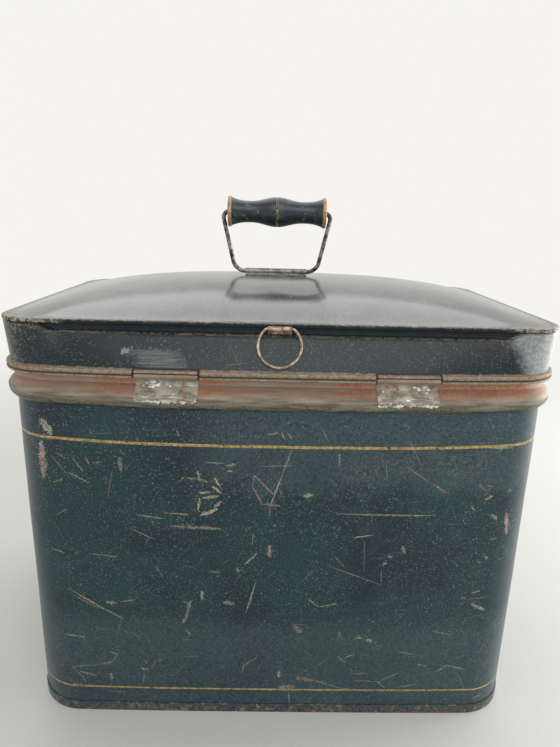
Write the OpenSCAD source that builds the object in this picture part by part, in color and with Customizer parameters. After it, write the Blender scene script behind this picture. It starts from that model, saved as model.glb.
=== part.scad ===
// Small tin trunk: a sheet-metal box for papers with a hinged domed lid.
// Millimetres. The hinge side faces -Y, +X is to its right, the flat underside lies on z = 0.

/* [Body] */
// Width across the short sides
body_w = 400; // [320:1:480]
// Depth across the long sides, without their bulge
body_d = 240; // [190:1:300]
// How far each short side is drawn in at the bead and the neck
side_draw = 3.5; // [0:0.5:5]
// Height from the table to the foot of the swaged bead
wall_h = 272; // [220:1:340]
// Thickness of the tinned sheet with its paint
sheet = 0.7; // [0.5:0.1:0.9]
// Corner radius at the foot
foot_corner_r = 38; // [30:1:50]
// Corner radius at the bead and the neck
neck_corner_r = 29; // [24:1:40]
// Bulge of the long sides at the foot
foot_bulge = 2; // [0:0.5:6]
// Bulge of the long sides where they are fullest
belly_bulge = 18; // [6:1:24]
// Height of the fullest place above the table
belly_z = 247; // [150:1:260]
// Exponent of the bulge along a side: a higher one is flatter in the middle
bulge_power = 3; // [2:0.5:4]

/* [Bead and neck] */
// Height of the swaged bead
bead_h = 16; // [12:1:20]
// How far the bead stands out of the wall
bead_out = 5.5; // [3:0.5:7]
// Bulge of the long sides at the bead
bead_bulge = 15; // [6:1:20]
// How far the neck is drawn in from the wall
neck_in = 0.6; // [0.4:0.1:1.2]
// Height of the neck above the bead
neck_h = 20; // [14:1:24]
// Bulge of the long sides at the neck and at the rim of the lid
rim_bulge = 10; // [6:1:14]
// Bulge left at the top edge of the neck
neck_top_bulge = 6.5; // [3:0.5:7]

/* [Bottom pan] */
// Height of the turned-up edge of the bottom
pan_h = 8.8; // [6:0.2:14]
// Play between the turned-up edge and the wall inside it
pan_play = 0.1; // [0.1:0.05:0.3]

/* [Lid] */
// Play between the neck and the lid wall
lid_play = 2.6; // [2.4:0.1:4]
// Height of the bare neck between the bead and the closed lid
neck_show = 5.3; // [4.5:0.1:8]
// Height of the wired rim
rim_h = 6; // [5:0.5:8]
// Height of the lid wall from its rim to the crease
lid_wall_h = 29.2; // [26:0.2:45]
// Bulge of the long sides at the crease
crease_bulge = 3.5; // [0:0.5:5]
// Height of the set-back skirt above the crease
skirt_h = 8.5; // [7.5:0.5:14]
// Width of the top over its folded lip
top_w = 403; // [323:1:483]
// Depth of the top over its folded lip
top_d = 243; // [193:1:303]
// Corner radius of the lip
top_corner_r = 27; // [22:1:36]
// How far the lip stands out over the skirt
lip_out = 3; // [2:0.25:4]
// Height of the folded lip
lip_h = 3; // [2:0.25:4]
// Rise of the domed top over its lip
dome_h = 20.5; // [10:0.5:30]

/* [Hinges] */
// Radius of the wire in the rim, which is also the hinge pin
rim_wire_r = 1; // [0.8:0.1:1.2]
// Running clearance round the hinge pin
pin_play = 0.05; // [0.02:0.01:0.1]
// Thickness of the hinge straps
strap_t = 0.9; // [0.7:0.1:1.1]
// Width of a hinge strap
strap_w = 43; // [30:1:50]
// Height of the part of a strap that lies on the neck and the bead
strap_drop = 14; // [12:1:16]
// Place of the left hinge's middle along X
hinge_left_x = -79; // [-95:1:-60]
// Place of the right hinge's middle along X
hinge_right_x = 87; // [60:1:95]
// Gap between a strap and the ends of its notch in the rim
notch_gap = 0.9; // [0.5:0.1:1.5]

/* [Handle] */
// Place of the handle's middle along X
handle_x = -5; // [-20:1:20]
// Radius of the bail's wire
bail_wire_r = 1.8; // [1.4:0.1:2.2]
// Clearance round the bail in its tube and in the grip
bail_play = 0.06; // [0.02:0.01:0.1]
// Length of the rolled tube that holds the bail
tube_len = 53; // [40:1:60]
// Thickness of the tube's sheet
tube_t = 0.8; // [0.6:0.1:1]
// Width of the tube's soldered foot
tube_foot_w = 15; // [10:1:24]
// Distance between the bail's feet, at the bends
bail_foot_w = 71; // [68:1:80]
// Distance between the bail's upper corners
bail_top_w = 94; // [92:1:110]
// Height of the grip's axis over the tube's axis
bail_h = 50; // [44:1:60]
// Radius of the bail's upper bends
top_bend_r = 5; // [4:0.5:6]
// Radius of the bail's lower bends
foot_bend_r = 11; // [6:0.5:13]
// Gap between the bail's two ends inside the tube
bail_gap = 1.5; // [1:0.5:4]
// Length of the wooden grip
grip_len = 83.5; // [80:0.5:88]
// Radius of the grip's end rings
grip_end_r = 12.6; // [11:0.2:15]
// Thickness of the grip's end rings
grip_end_t = 3; // [2:0.2:5]
// Radius of the grip's waists
grip_waist_r = 8.9; // [7:0.1:11]
// Radius of the grip's swelled middle
grip_belly_r = 12.4; // [10:0.2:15]
// Distance of a waist from the grip's middle
grip_waist_x = 23; // [16:1:28]
// Radius of the hollow in each end of the grip
grip_hollow_r = 4; // [3.6:0.1:6]
// Depth of the hollow in each end of the grip
grip_hollow_d = 5; // [4.5:0.5:8]

/* [Ring] */
// Place of the ring's middle along X
ring_x = -2; // [-20:1:20]
// Radius of the ring to the middle of its wire
ring_r = 15; // [12:0.5:18]
// Radius of the ring's wire
ring_wire_r = 1; // [0.8:0.1:1.3]
// Length of the ring's straight bar
ring_bar = 19; // [18:0.5:21]
// Length of the rolled tin loop that holds the ring
loop_len = 16.4; // [10:0.2:16.6]
// Thickness of the loop's sheet
loop_t = 0.8; // [0.6:0.1:1]
// Running clearance round the ring's bar
ring_play = 0.06; // [0.02:0.01:0.1]

/* [Hasp] */
// Width of the hasp
hasp_w = 24; // [18:1:32]
// Length of the hasp from its pin to its tip
hasp_len = 53.5; // [50:0.5:64]
// Thickness of the hasp
hasp_t = 1.2; // [1:0.1:1.6]
// Radius of the hasp's pin
hasp_pin_r = 1; // [0.8:0.1:1.2]
// Width of the middle knuckle
knuckle_w = 12; // [8:1:14]
// Height of the hasp's pin above the lower edge of the lid
hasp_rise = 11; // [9:0.5:14]
// Distance of the slot's middle from the pin
slot_drop = 43; // [41:0.5:48]
// Height of the slot
slot_h = 14.5; // [14:0.5:17]
// Width of the slot
slot_w = 6; // [5:0.5:8]
// Radius of the staple's wire
staple_wire_r = 1.3; // [1:0.1:1.6]
// Radius of the staple's eye to the middle of its wire
staple_r = 4.5; // [4:0.25:5]
// How far the staple's eye reaches beyond the closed hasp
staple_reach = 8; // [7:0.5:10]
// Width of the staple's plate
staple_plate_w = 16; // [12:1:24]
// Height of the staple's plate
staple_plate_h = 21; // [18:1:32]

/* [Hidden] */
$fn = 48;
// Gap between pieces that are soldered or seamed face to face
seat = 0.1;
// Gap between pieces that move past each other
air = 0.4;
// Least gap between the top edge of the neck and the lid wall
neck_clear = 0.8;
// How far a cutting shape runs past what it cuts
over = 1;
// Swelling of a wire in its bends, and how far its straight lengths reach into them
bend_swell = 1.02;
bend_lap = 0.2;

// Steps along a corner, a long side and a short side
corner_steps = 6;
long_steps = 14;
short_steps = 3;

half_w = body_w / 2;
half_d = body_d / 2;
neck_w = half_w - side_draw;
bead_z = wall_h;
neck_z = bead_z + bead_h;
neck_top_z = neck_z + neck_h;
rim_z = neck_z + neck_show;
rim_top_z = rim_z + rim_h;
crease_z = rim_z + lid_wall_h;
seam_z = crease_z + skirt_h;
dome_z = seam_z + dome_h;

// Offsets from the body wall's plane
lid_in = lid_play - neck_in;
lid_out = lid_in + sheet;
wire_at = lid_out + seat + rim_wire_r;
rim_out = wire_at + rim_wire_r + seat + sheet;
wire_z = rim_z + sheet + seat + rim_wire_r;

skirt_w = top_w / 2 - lip_out;
skirt_d = top_d / 2 - lip_out;
skirt_r = top_corner_r - lip_out;
bead_full = 0.55;
crease_power = bulge_power + 2;

// Rounded rectangle with half sizes a and b and corner r, anticlockwise from the hinge side's right
// corner round the front, with the hinge side's inner points last
function corner(c, a, b, r) = let (
        sx = c == 0 || c == 3 ? 1 : -1,
        sy = c < 2 ? 1 : -1
    ) [for (i = [0:corner_steps]) let (t = 90 * (c + i / corner_steps))
        [sx * (a - r) + r * cos(t), sy * (b - r) + r * sin(t)]];
function between(p, q, n) = [for (i = [1:n - 1]) p + (q - p) * i / n];
function plain(a, b, r) = let (k = [for (c = [3, 0, 1, 2]) corner(c, a, b, r)], e = corner_steps)
    concat(k[0], between(k[0][e], k[1][0], short_steps),
        k[1], between(k[1][e], k[2][0], long_steps),
        k[2], between(k[2][e], k[3][0], short_steps),
        k[3], between(k[3][e], k[0][0], long_steps));
function bulged(q, a, g, p) = [q.x, q.y + sign(q.y) * g * (1 - pow(min(1, abs(q.x) / a), p))];

// A level is [half width, half depth, corner radius, bulge, z, exponent]
function ring_of(l) = [for (q = plain(l[0], l[1], l[2])) let (m = bulged(q, l[0], l[3], l[5]))
    [m.x, m.y, l[4]]];
ring_n = len(plain(half_w, half_d, foot_corner_r));

function mix(a, b, t) = a + (b - a) * min(1, max(0, t));
function wall_w(z) = mix(half_w, neck_w, z / bead_z);
function wall_corner(z) = mix(foot_corner_r, neck_corner_r, z / bead_z);
function wall_bulge(z) = lookup(z, [[0, foot_bulge], [belly_z, belly_bulge], [bead_z, bead_bulge],
    [bead_z + bead_h * bead_full, bead_bulge], [neck_z, rim_bulge],
    [neck_z + neck_show, rim_bulge], [neck_top_z, neck_top_bulge]]);
// How far the body's outer face stands out of the wall's plane at height z
function wall_out(z) = lookup(z, concat([for (s = bead_shape) [bead_z + bead_h * s[0], s[1]]],
    [[rim_z, -neck_in], [neck_top_z, -neck_in - neck_draw]]));
bead_shape = [[0, 0], [0.14, bead_out * 0.55], [0.32, bead_out * 0.9], [bead_full, bead_out],
    [0.7, bead_out * 0.82], [0.86, bead_out * 0.4], [1, -neck_in]];
// Heights at which the body's outline changes, and those of them between low and top
body_zs = concat([sheet + seat, belly_z], [for (s = bead_shape) bead_z + bead_h * s[0]],
    [rim_z, neck_top_z]);
function levels(low, top) = concat([low], [for (z = body_zs) if (z > low && z < top) z], [top]);
// Level of the body at offset o from its outer face
function body_level(o, z, out) = let (f = out + o)
    [wall_w(z) + f, half_d + f, wall_corner(z) + f, wall_bulge(z), z, bulge_power];

// Level of the lid wall at height z, at offset o from its outer face
function lid_t(z) = (z - rim_top_z) / (crease_z - rim_top_z);
function lid_level(o, z) = [
    mix(neck_w + lid_out, skirt_w, lid_t(z)) + o,
    mix(half_d + lid_out, skirt_d, lid_t(z)) + o,
    mix(neck_corner_r + lid_out, skirt_r, lid_t(z)) + o,
    mix(rim_bulge, crease_bulge, lid_t(z)), z,
    mix(bulge_power, crease_power, lid_t(z))];
function skirt_level(o, z) = [skirt_w + o, skirt_d + o, skirt_r + o, 0, z, crease_power];
// Outer face of the lid wall at the middle of a long side
function lid_face(z) = lid_level(0, z)[1] + lid_level(0, z)[3];
// How far the top edge of the neck is drawn in further, to stay clear of a lid wall that leans far in
neck_draw = max(0, half_d - neck_in + neck_top_bulge + neck_clear - lid_face(neck_top_z) + sheet,
    neck_w - neck_in + neck_clear - lid_level(-sheet, neck_top_z)[0]);

// Closed shell from rings of equal length, the last ring joined to the first
module hoop(rings) {
    m = len(rings);
    n = len(rings[0]);
    polyhedron(points = [for (r = rings) each r], faces = [for (j = [0:m - 1], i = [0:n - 1])
        let (a = j * n + i, b = j * n + (i + 1) % n,
            c = ((j + 1) % m) * n + i, d = ((j + 1) % m) * n + (i + 1) % n)
        each [[a, c, b], [b, c, d]]], convexity = 10);
}

// Closed shell from rings, with each end drawn in to its own middle point
module capped(rings, first, last) {
    m = len(rings);
    n = len(rings[0]);
    body = [for (j = [0:m - 2], i = [0:n - 1])
        let (a = j * n + i, b = j * n + (i + 1) % n, c = a + n, d = b + n)
        each [[a, c, b], [b, c, d]]];
    ends = [for (i = [0:n - 1]) let (k = (i + 1) % n)
        each [[m * n, i, k], [m * n + 1, (m - 1) * n + k, (m - 1) * n + i]]];
    polyhedron(points = concat([for (r = rings) each r], [first, last]),
        faces = concat(body, ends), convexity = 10);
}

// Tin patch that lies on the body's outer face: side is -1 at the hinges and 1 at the front,
// zs are its heights from the bottom up, and t is its thickness
module patch(side, x0, x1, zs, t, steps) {
    n = len(zs);
    function at(x, z, o) = [x, side * (half_d + wall_out(z) + o
        + wall_bulge(z) * (1 - pow(min(1, abs(x) / wall_w(z)), bulge_power))), z];
    xs = [for (i = [0:steps]) x0 + (x1 - x0) * i / steps];
    rings = [for (x = xs) concat([for (z = zs) at(x, z, seat)],
        [for (i = [n - 1:-1:0]) at(x, zs[i], seat + t)])];
    m = 2 * n;
    skin = [for (j = [0:steps - 1], i = [0:m - 1])
        let (a = j * m + i, b = j * m + (i + 1) % m, c = a + m, d = b + m)
        each [[a, b, c], [b, d, c]]];
    ends = [for (i = [0:n - 2]) let (p = i, q = i + 1, r = m - 2 - i, s = m - 1 - i, e = steps * m)
        each [[p, s, q], [q, s, r], [e + p, e + q, e + s], [e + q, e + r, e + s]]];
    faces = concat(skin, ends);
    polyhedron(points = [for (r = rings) each r],
        faces = side > 0 ? faces : [for (f = faces) [f[0], f[2], f[1]]], convexity = 6);
}

// Round wire of radius w along a flat path in the XY plane, bent with the radii in bends
module bent_wire(path, bends, w) {
    n = len(path);
    d = [for (i = [0:n - 2]) (path[i + 1] - path[i]) / norm(path[i + 1] - path[i])];
    turn = [for (i = [1:n - 2]) let (u = d[i - 1], v = d[i])
        atan2(u.x * v.y - u.y * v.x, u.x * v.x + u.y * v.y)];
    cut = concat([0], [for (i = [1:n - 2]) bends[i - 1] * tan(abs(turn[i - 1]) / 2)], [0]);
    for (i = [0:n - 2]) {
        a = path[i] + d[i] * (i == 0 ? 0 : cut[i] - bend_lap);
        b = path[i + 1] - d[i] * (i == n - 2 ? 0 : cut[i + 1] - bend_lap);
        translate([a.x, a.y, 0])
            rotate([0, 90, atan2(d[i].y, d[i].x)])
                cylinder(h = norm(b - a), r = w);
    }
    for (i = [1:n - 2]) {
        u = d[i - 1];
        start = path[i] - u * cut[i];
        mid = start + sign(turn[i - 1]) * bends[i - 1] * [-u.y, u.x];
        translate([mid.x, mid.y, 0])
            rotate(atan2(start.y - mid.y, start.x - mid.x))
                rotate_extrude(angle = turn[i - 1])
                    translate([bends[i - 1], 0])
                        circle(r = w * bend_swell);
    }
}

// Tube along X, with its middle at x = 0
module rolled(len_x, r_in, t) {
    rotate([0, 90, 0])
        difference() {
            cylinder(h = len_x, r = r_in + t, center = true);
            cylinder(h = len_x + 2 * over, r = r_in, center = true);
        }
}

// Section in the YZ plane drawn out along X, with its middle at x = 0
module along_x(len_x, section) {
    rotate([90, 0, 90])
        linear_extrude(height = len_x, center = true)
            polygon(section);
}

// Body
module body_wall() {
    outer = [for (z = body_zs) ring_of(body_level(0, z, wall_out(z)))];
    inner = [for (i = [len(body_zs) - 1:-1:0]) let (z = body_zs[i])
        ring_of(body_level(-sheet, z, wall_out(z)))];
    color([0.07, 0.13, 0.17])
        hoop(concat(outer, inner));
}

module bottom_pan() {
    function pan_level(o, z) = ring_of(body_level(pan_play + o, z, 0));
    bend = sheet + 0.3;
    rings = [pan_level(-over, sheet), pan_level(0, sheet), pan_level(0, pan_h),
        pan_level(sheet, pan_h), pan_level(sheet, bend), pan_level(sheet - bend, 0)];
    color([0.09, 0.14, 0.18])
        capped([for (i = [len(rings) - 1:-1:0]) rings[i]], [0, 0, 0], [0, 0, sheet]);
}

// Hinges
hinge_bulge = [for (x = [hinge_left_x, hinge_right_x])
    rim_bulge * (1 - pow(abs(x) / neck_w, bulge_power))];
hinge_y = -(half_d + wire_at + (hinge_bulge[0] + hinge_bulge[1]) / 2);
knuckle_r = rim_wire_r + pin_play + strap_t;

// Inner face of a strap on the neck
function strap_skin(x) = half_d - neck_in + seat
    + rim_bulge * (1 - pow(min(1, abs(x) / neck_w), bulge_power));
module hinge_strap(x) {
    low = rim_z - strap_drop;
    top = rim_z - strap_t / 2;
    x0 = x - strap_w / 2;
    x1 = x + strap_w / 2;
    reach = -hinge_y - max(strap_skin(x0), strap_skin(x1)) - strap_t / 2;
    hold = 2;
    color([0.62, 0.6, 0.55]) {
        patch(-1, x0, x1, levels(low, top), strap_t, 8);
        translate([x, hinge_y, wire_z]) {
            rolled(strap_w, rim_wire_r + pin_play, strap_t);
            along_x(strap_w, [[reach, top - wire_z - hold], [reach, top - wire_z],
                [rim_wire_r + pin_play + strap_t * 0.5, 0],
                [0, -(rim_wire_r + pin_play + strap_t * 0.7)]]);
        }
    }
}

module hinge_strap_left() {
    hinge_strap(hinge_left_x);
}

module hinge_strap_right() {
    hinge_strap(hinge_right_x);
}

module hinge_pins() {
    color([0.35, 0.24, 0.17])
        for (x = [hinge_left_x, hinge_right_x])
            translate([x, hinge_y, wire_z])
                rotate([0, 90, 0])
                    cylinder(h = strap_w + 2 * (notch_gap - seat), r = rim_wire_r, center = true);
}

// Lid
module lid_wall() {
    groove = 0.35;
    mid = wire_z + 0.6;
    hook_in = rim_out - sheet;
    bend = 0.5;
    hook_h = rim_h - 0.9;
    function rim(o, z) = ring_of([neck_w + o, half_d + o, neck_corner_r + o, rim_bulge, z, bulge_power]);
    outer = [rim(rim_out - bend * 2, rim_z), rim(rim_out, rim_z + bend * 2), rim(rim_out, mid - bend),
        rim(rim_out - groove, mid), rim(rim_out, mid + bend), rim(rim_out, rim_z + hook_h),
        rim(rim_out - bend, rim_top_z)];
    hook = [rim(hook_in, rim_z + hook_h), rim(hook_in, rim_z + sheet + bend),
        rim(hook_in - bend, rim_z + sheet), rim(lid_out + bend, rim_z + sheet),
        rim(lid_out, rim_z + sheet + bend)];
    wall = [ring_of(lid_level(0, rim_top_z)), ring_of(lid_level(0, crease_z - 0.8)),
        ring_of(lid_level(-0.8, crease_z)), ring_of(skirt_level(0, crease_z + 0.2)),
        ring_of(skirt_level(0, seam_z - seat)), ring_of(skirt_level(-sheet, seam_z - seat)),
        ring_of(skirt_level(-sheet, crease_z - sheet + 0.2)),
        ring_of(lid_level(-sheet - 0.6, crease_z - sheet - 0.6)), ring_of(lid_level(-sheet, rim_top_z))];
    foot = [rim(lid_in, rim_z + bend * 2), rim(lid_in + bend, rim_z)];
    notch_top = wire_z + knuckle_r + notch_gap * 0.6;
    color([0.16, 0.21, 0.24])
        difference() {
            hoop(concat(outer, hook, wall, foot));
            for (x = [hinge_left_x, hinge_right_x])
                translate([x - strap_w / 2 - notch_gap, hinge_y - 3 * knuckle_r, rim_z - over])
                    cube([strap_w + 2 * notch_gap, 6 * knuckle_r, notch_top - rim_z + over]);
        }
}

// Height of the domed top over the seam, at x and y, with the exponents of its fullness
dome_full_x = 3;
dome_full_y = 2.6;
dome_full_rim = 16;
function dome(x, y) = dome_h * (1 - pow(min(1, abs(x) / (top_w / 2)), dome_full_x))
    * (1 - pow(min(1, abs(y) / (top_d / 2)), dome_full_y));
module lid_top() {
    lip = [top_w / 2, top_d / 2, top_corner_r];
    function lip_ring(o, z) = ring_of([lip[0] + o, lip[1] + o, lip[2] + o, 0, z, crease_power]);
    function dome_ring(s, drop) = [for (q = plain(lip[0], lip[1], lip[2]))
        [q.x * s, q.y * s, seam_z + dome(q.x * s, q.y * s) * (1 - pow(s, dome_full_rim)) - drop]];
    low = seam_z - lip_h;
    nose = 0.8;
    inner = lip_out - seat;
    shares = [0.25, 0.45, 0.62, 0.76, 0.87, 0.94];
    rings = concat([for (s = shares) dome_ring(s, 0)],
        [lip_ring(-nose * 1.6, seam_z + nose * 0.8), lip_ring(-nose * 0.3, seam_z),
        lip_ring(0, seam_z - nose), lip_ring(0, low + nose), lip_ring(-nose, low), lip_ring(-inner, low),
        lip_ring(-inner, seam_z)],
        [for (i = [len(shares) - 1:-1:0]) dome_ring(shares[i], sheet)]);
    color([0.3, 0.34, 0.35])
        capped([for (i = [len(rings) - 1:-1:0]) rings[i]], [0, 0, dome_z - sheet], [0, 0, dome_z]);
}

// The wire that lies in the folded rim, in one length round the trunk and one between the hinges
module rim_wire() {
    sides = 8;
    a = neck_w + wire_at;
    b = half_d + wire_at;
    r = neck_corner_r + wire_at;
    whole = plain(a, b, r);
    left_end = hinge_left_x - strap_w / 2 - notch_gap - seat;
    right_end = hinge_right_x + strap_w / 2 + notch_gap + seat;
    inner_ends = [hinge_left_x + strap_w / 2 + notch_gap + seat,
        hinge_right_x - strap_w / 2 - notch_gap - seat];
    round_flat = concat([[right_end, -b]], between([right_end, -b], [a - r, -b], 3),
        [for (i = [0:ring_n - long_steps]) whole[i]],
        between([r - a, -b], [left_end, -b], 3), [[left_end, -b]]);
    middle_flat = [for (i = [0:8]) [mix(inner_ends[0], inner_ends[1], i / 8), -b]];
    module rod(flat) {
        path = [for (q = flat) bulged(q, a, rim_bulge, bulge_power)];
        n = len(path);
        rings = [for (i = [0:n - 1]) let (
                d = path[min(n - 1, i + 1)] - path[max(0, i - 1)],
                s = [d.y, -d.x] / norm(d)
            ) [for (k = [0:sides - 1]) let (t = 360 * k / sides)
                [path[i].x + s.x * rim_wire_r * cos(t), path[i].y + s.y * rim_wire_r * cos(t),
                    wire_z + rim_wire_r * sin(t)]]];
        capped([for (i = [n - 1:-1:0]) rings[i]], [path[n - 1].x, path[n - 1].y, wire_z],
            [path[0].x, path[0].y, wire_z]);
    }
    color([0.35, 0.24, 0.17]) {
        rod(round_flat);
        rod(middle_flat);
    }
}

// Handle
tube_r = bail_wire_r + bail_play;
tube_z = dome_z + seat + tube_t + tube_r + tube_t * 0.8;

module handle_tube() {
    foot_z = dome_z + seat - tube_z;
    color([0.5, 0.48, 0.44])
        translate([handle_x, 0, tube_z])
            difference() {
                union() {
                    rotate([0, 90, 0])
                        cylinder(h = tube_len, r = tube_r + tube_t, center = true);
                    along_x(tube_len, [[-tube_foot_w / 2, foot_z], [tube_foot_w / 2, foot_z],
                        [tube_foot_w / 2, foot_z + tube_t * 0.6], [tube_r + tube_t * 0.5, foot_z + tube_t],
                        [tube_r, 0], [-tube_r, 0], [-tube_r - tube_t * 0.5, foot_z + tube_t],
                        [-tube_foot_w / 2, foot_z + tube_t * 0.6]]);
                }
                rotate([0, 90, 0])
                    cylinder(h = tube_len + 2 * over, r = tube_r, center = true);
            }
}

module handle_bail() {
    f = bail_foot_w / 2;
    t = bail_top_w / 2;
    color([0.16, 0.13, 0.12])
        translate([handle_x, 0, tube_z])
            rotate([90, 0, 0])
                bent_wire([[bail_gap / 2, 0], [f, 0], [t, bail_h], [-t, bail_h], [-f, 0],
                    [-bail_gap / 2, 0]], [foot_bend_r, top_bend_r, top_bend_r, foot_bend_r], bail_wire_r);
}

// Radius of the turned grip at distance x from its middle
function grip_r(x) = let (u = abs(x), e = grip_len / 2 - grip_end_t) u < grip_waist_x
    ? grip_waist_r + (grip_belly_r - grip_waist_r) * pow(0.5 + 0.5 * cos(180 * u / grip_waist_x), 1.2)
    : grip_waist_r + (grip_end_r - 0.8 - grip_waist_r) * pow((u - grip_waist_x) / (e - grip_waist_x), 2.4);
module handle_grip() {
    h = grip_len / 2;
    e = h - grip_end_t;
    half = concat([for (i = [0:15]) let (x = e * i / 15) [grip_r(x), x]],
        [[grip_end_r, e + 0.4], [grip_end_r, h - 0.8], [grip_end_r - 1, h]]);
    color([0.05, 0.07, 0.1])
        translate([handle_x, 0, tube_z + bail_h])
            rotate([0, 90, 0])
                difference() {
                    rotate_extrude()
                        polygon(concat([[0, -h]], [for (i = [len(half) - 1:-1:1]) [half[i][0], -half[i][1]]],
                            half, [[0, h]]));
                    cylinder(h = grip_len + 2 * over, r = bail_wire_r + bail_play, center = true);
                    for (s = [-1, 1])
                        translate([0, 0, s * (h - grip_hollow_d / 2 + over / 2)])
                            cylinder(h = grip_hollow_d + over, r = grip_hollow_r, center = true);
                }
}

// Ring
loop_r = ring_wire_r + ring_play;
ring_y = -(top_d / 2 + seat + loop_r + loop_t);
ring_z = seam_z - lip_h / 2 - loop_r - 0.8;
ring_bend = 1.8;
ring_drop = sqrt(ring_r * ring_r - ring_bar * ring_bar / 4) + ring_r;
// The ring leans on the lid wall, clear of it by air: each try is settled halfway to the next
function ring_try(lean) = asin((lid_face(ring_z - ring_drop * cos(lean)) + ring_wire_r + air + ring_y)
    / ring_drop);
function settled(lean, tries) = tries == 0 ? lean : settled((lean + ring_try(lean)) / 2, tries - 1);
ring_lean = settled(20, 16);

module ring_loop() {
    low = crease_z + 0.6 - ring_z;
    back = -(skirt_d + seat) - ring_y;
    under = seam_z - lip_h - seat - ring_z;
    color([0.55, 0.42, 0.33])
        translate([ring_x, ring_y, ring_z])
            difference() {
                union() {
                    rotate([0, 90, 0])
                        cylinder(h = loop_len, r = loop_r + loop_t, center = true);
                    along_x(loop_len, [[0, -loop_r - loop_t], [back - loop_t, -loop_r - loop_t],
                        [back - loop_t, low], [back, low], [back, min(under, 0)], [0, min(under, 0)]]);
                }
                rotate([0, 90, 0])
                    cylinder(h = loop_len + 2 * over, r = loop_r, center = true);
            }
}

module pull_ring() {
    half_bar = ring_bar / 2;
    drop = ring_drop - ring_r;
    span = 2 * (180 - asin(half_bar / ring_r));
    color([0.45, 0.33, 0.27])
        translate([ring_x, ring_y, ring_z])
            rotate([90 - ring_lean, 0, 0]) {
                rotate([0, 90, 0])
                    cylinder(h = ring_bar, r = ring_wire_r, center = true);
                for (s = [-1, 1])
                    translate([s * half_bar, 0, 0])
                        sphere(r = ring_wire_r);
                translate([0, -drop, 0])
                    rotate(-90 - span / 2)
                        rotate_extrude(angle = span)
                            translate([ring_r, 0])
                                circle(r = ring_wire_r);
            }
}

// Hasp, at the front
hasp_z = rim_z + hasp_rise;
hasp_clear = half_d + max(rim_out + rim_bulge, bead_out + bead_bulge) + air;
hasp_knuckle_r = hasp_pin_r + pin_play + strap_t;
hasp_y = hasp_clear + hasp_knuckle_r;
// Lean of the thrown-back hasp, which lies on the edge of the lip
lip_dy = hasp_y - top_d / 2;
lip_dz = seam_z - hasp_z;
hasp_lean = atan2(lip_dy, lip_dz)
    + asin((hasp_knuckle_r - hasp_t - air) / norm([lip_dy, lip_dz]));

module hasp_strap() {
    top = crease_z - 3;
    low = hasp_z - 1.5;
    far = lid_face(low) + seat - hasp_y;
    near = lid_face(top) + seat - hasp_y;
    color([0.5, 0.47, 0.42])
        translate([0, hasp_y, hasp_z])
            difference() {
                union() {
                    rotate([0, 90, 0])
                        cylinder(h = hasp_w, r = hasp_knuckle_r, center = true);
                    along_x(hasp_w, [[near, top - hasp_z], [far, low - hasp_z],
                        [-hasp_pin_r, -hasp_knuckle_r * 0.8], [-hasp_pin_r - pin_play, 0],
                        [far + strap_t, low + strap_t - hasp_z + 0.8],
                        [near + strap_t, top - hasp_z]]);
                }
                rotate([0, 90, 0])
                    cylinder(h = hasp_w + 2 * over, r = hasp_pin_r + pin_play, center = true);
                rotate([0, 90, 0])
                    cylinder(h = knuckle_w + 2 * air, r = hasp_knuckle_r + 2 * air, center = true);
            }
}

module hasp_pin() {
    color([0.4, 0.37, 0.33])
        translate([0, hasp_y, hasp_z])
            rotate([0, 90, 0])
                cylinder(h = hasp_w + 2, r = hasp_pin_r, center = true);
}

module hasp() {
    root = hasp_knuckle_r + air + 0.2;
    color([0.42, 0.4, 0.36])
        translate([0, hasp_y, hasp_z])
            rotate([180 + hasp_lean, 0, 0])
                difference() {
                    union() {
                        rotate([0, 90, 0])
                            cylinder(h = knuckle_w, r = hasp_knuckle_r, center = true);
                        translate([-knuckle_w / 2, -hasp_knuckle_r, -root - over])
                            cube([knuckle_w, hasp_t, root + over]);
                        translate([0, -hasp_knuckle_r, 0])
                            rotate([-90, 0, 0])
                                linear_extrude(height = hasp_t)
                                    hasp_outline(root);
                    }
                    rotate([0, 90, 0])
                        cylinder(h = knuckle_w + 2 * over, r = hasp_pin_r + pin_play, center = true);
                    for (s = [-1, 1])
                        translate([0, 0, -slot_drop + s * (slot_h - slot_w) / 2])
                            rotate([90, 0, 0])
                                cylinder(h = 4 * hasp_knuckle_r, r = slot_w / 2, center = true);
                    translate([0, 0, -slot_drop])
                        cube([slot_w, 4 * hasp_knuckle_r, slot_h - slot_w], center = true);
                }
}

module hasp_outline(root) {
    tip_r = hasp_w / 2;
    translate([-hasp_w / 2, root])
        square([hasp_w, hasp_len - root - tip_r]);
    translate([0, hasp_len - tip_r])
        circle(r = tip_r);
}

module staple() {
    z = hasp_z - slot_drop;
    tip = hasp_clear + hasp_t + staple_reach - staple_r - staple_wire_r;
    zs = levels(z - staple_plate_h / 2, z + staple_plate_h / 2);
    function root(leg_z) = half_d + wall_bulge(leg_z) + wall_out(leg_z) + seat + strap_t / 2;
    color([0.5, 0.47, 0.42]) {
        patch(1, -staple_plate_w / 2, staple_plate_w / 2, zs, strap_t, 4);
        for (leg_z = [z - staple_r, z + staple_r])
            translate([0, root(leg_z), leg_z])
                rotate([-90, 0, 0])
                    cylinder(h = tip - root(leg_z), r = staple_wire_r);
        translate([0, tip, z])
            rotate([90, 0, 90])
                rotate(-90)
                    rotate_extrude(angle = 180)
                        translate([staple_r, 0])
                            circle(r = staple_wire_r);
    }
}

body_wall();
bottom_pan();
hinge_strap_left();
hinge_strap_right();
staple();
lid_wall();
lid_top();
rim_wire();
hinge_pins();
ring_loop();
handle_tube();
hasp_strap();
hasp_pin();
handle_bail();
handle_grip();
pull_ring();
hasp();
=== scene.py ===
"""The looks of a small tin trunk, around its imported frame.

Lengths named here are millimetres, and MM turns them into metres. The hinge side faces -Y.
"""

import math
import random

import bmesh
import bpy
import numpy as np
from mathutils import Matrix, Vector


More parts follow.
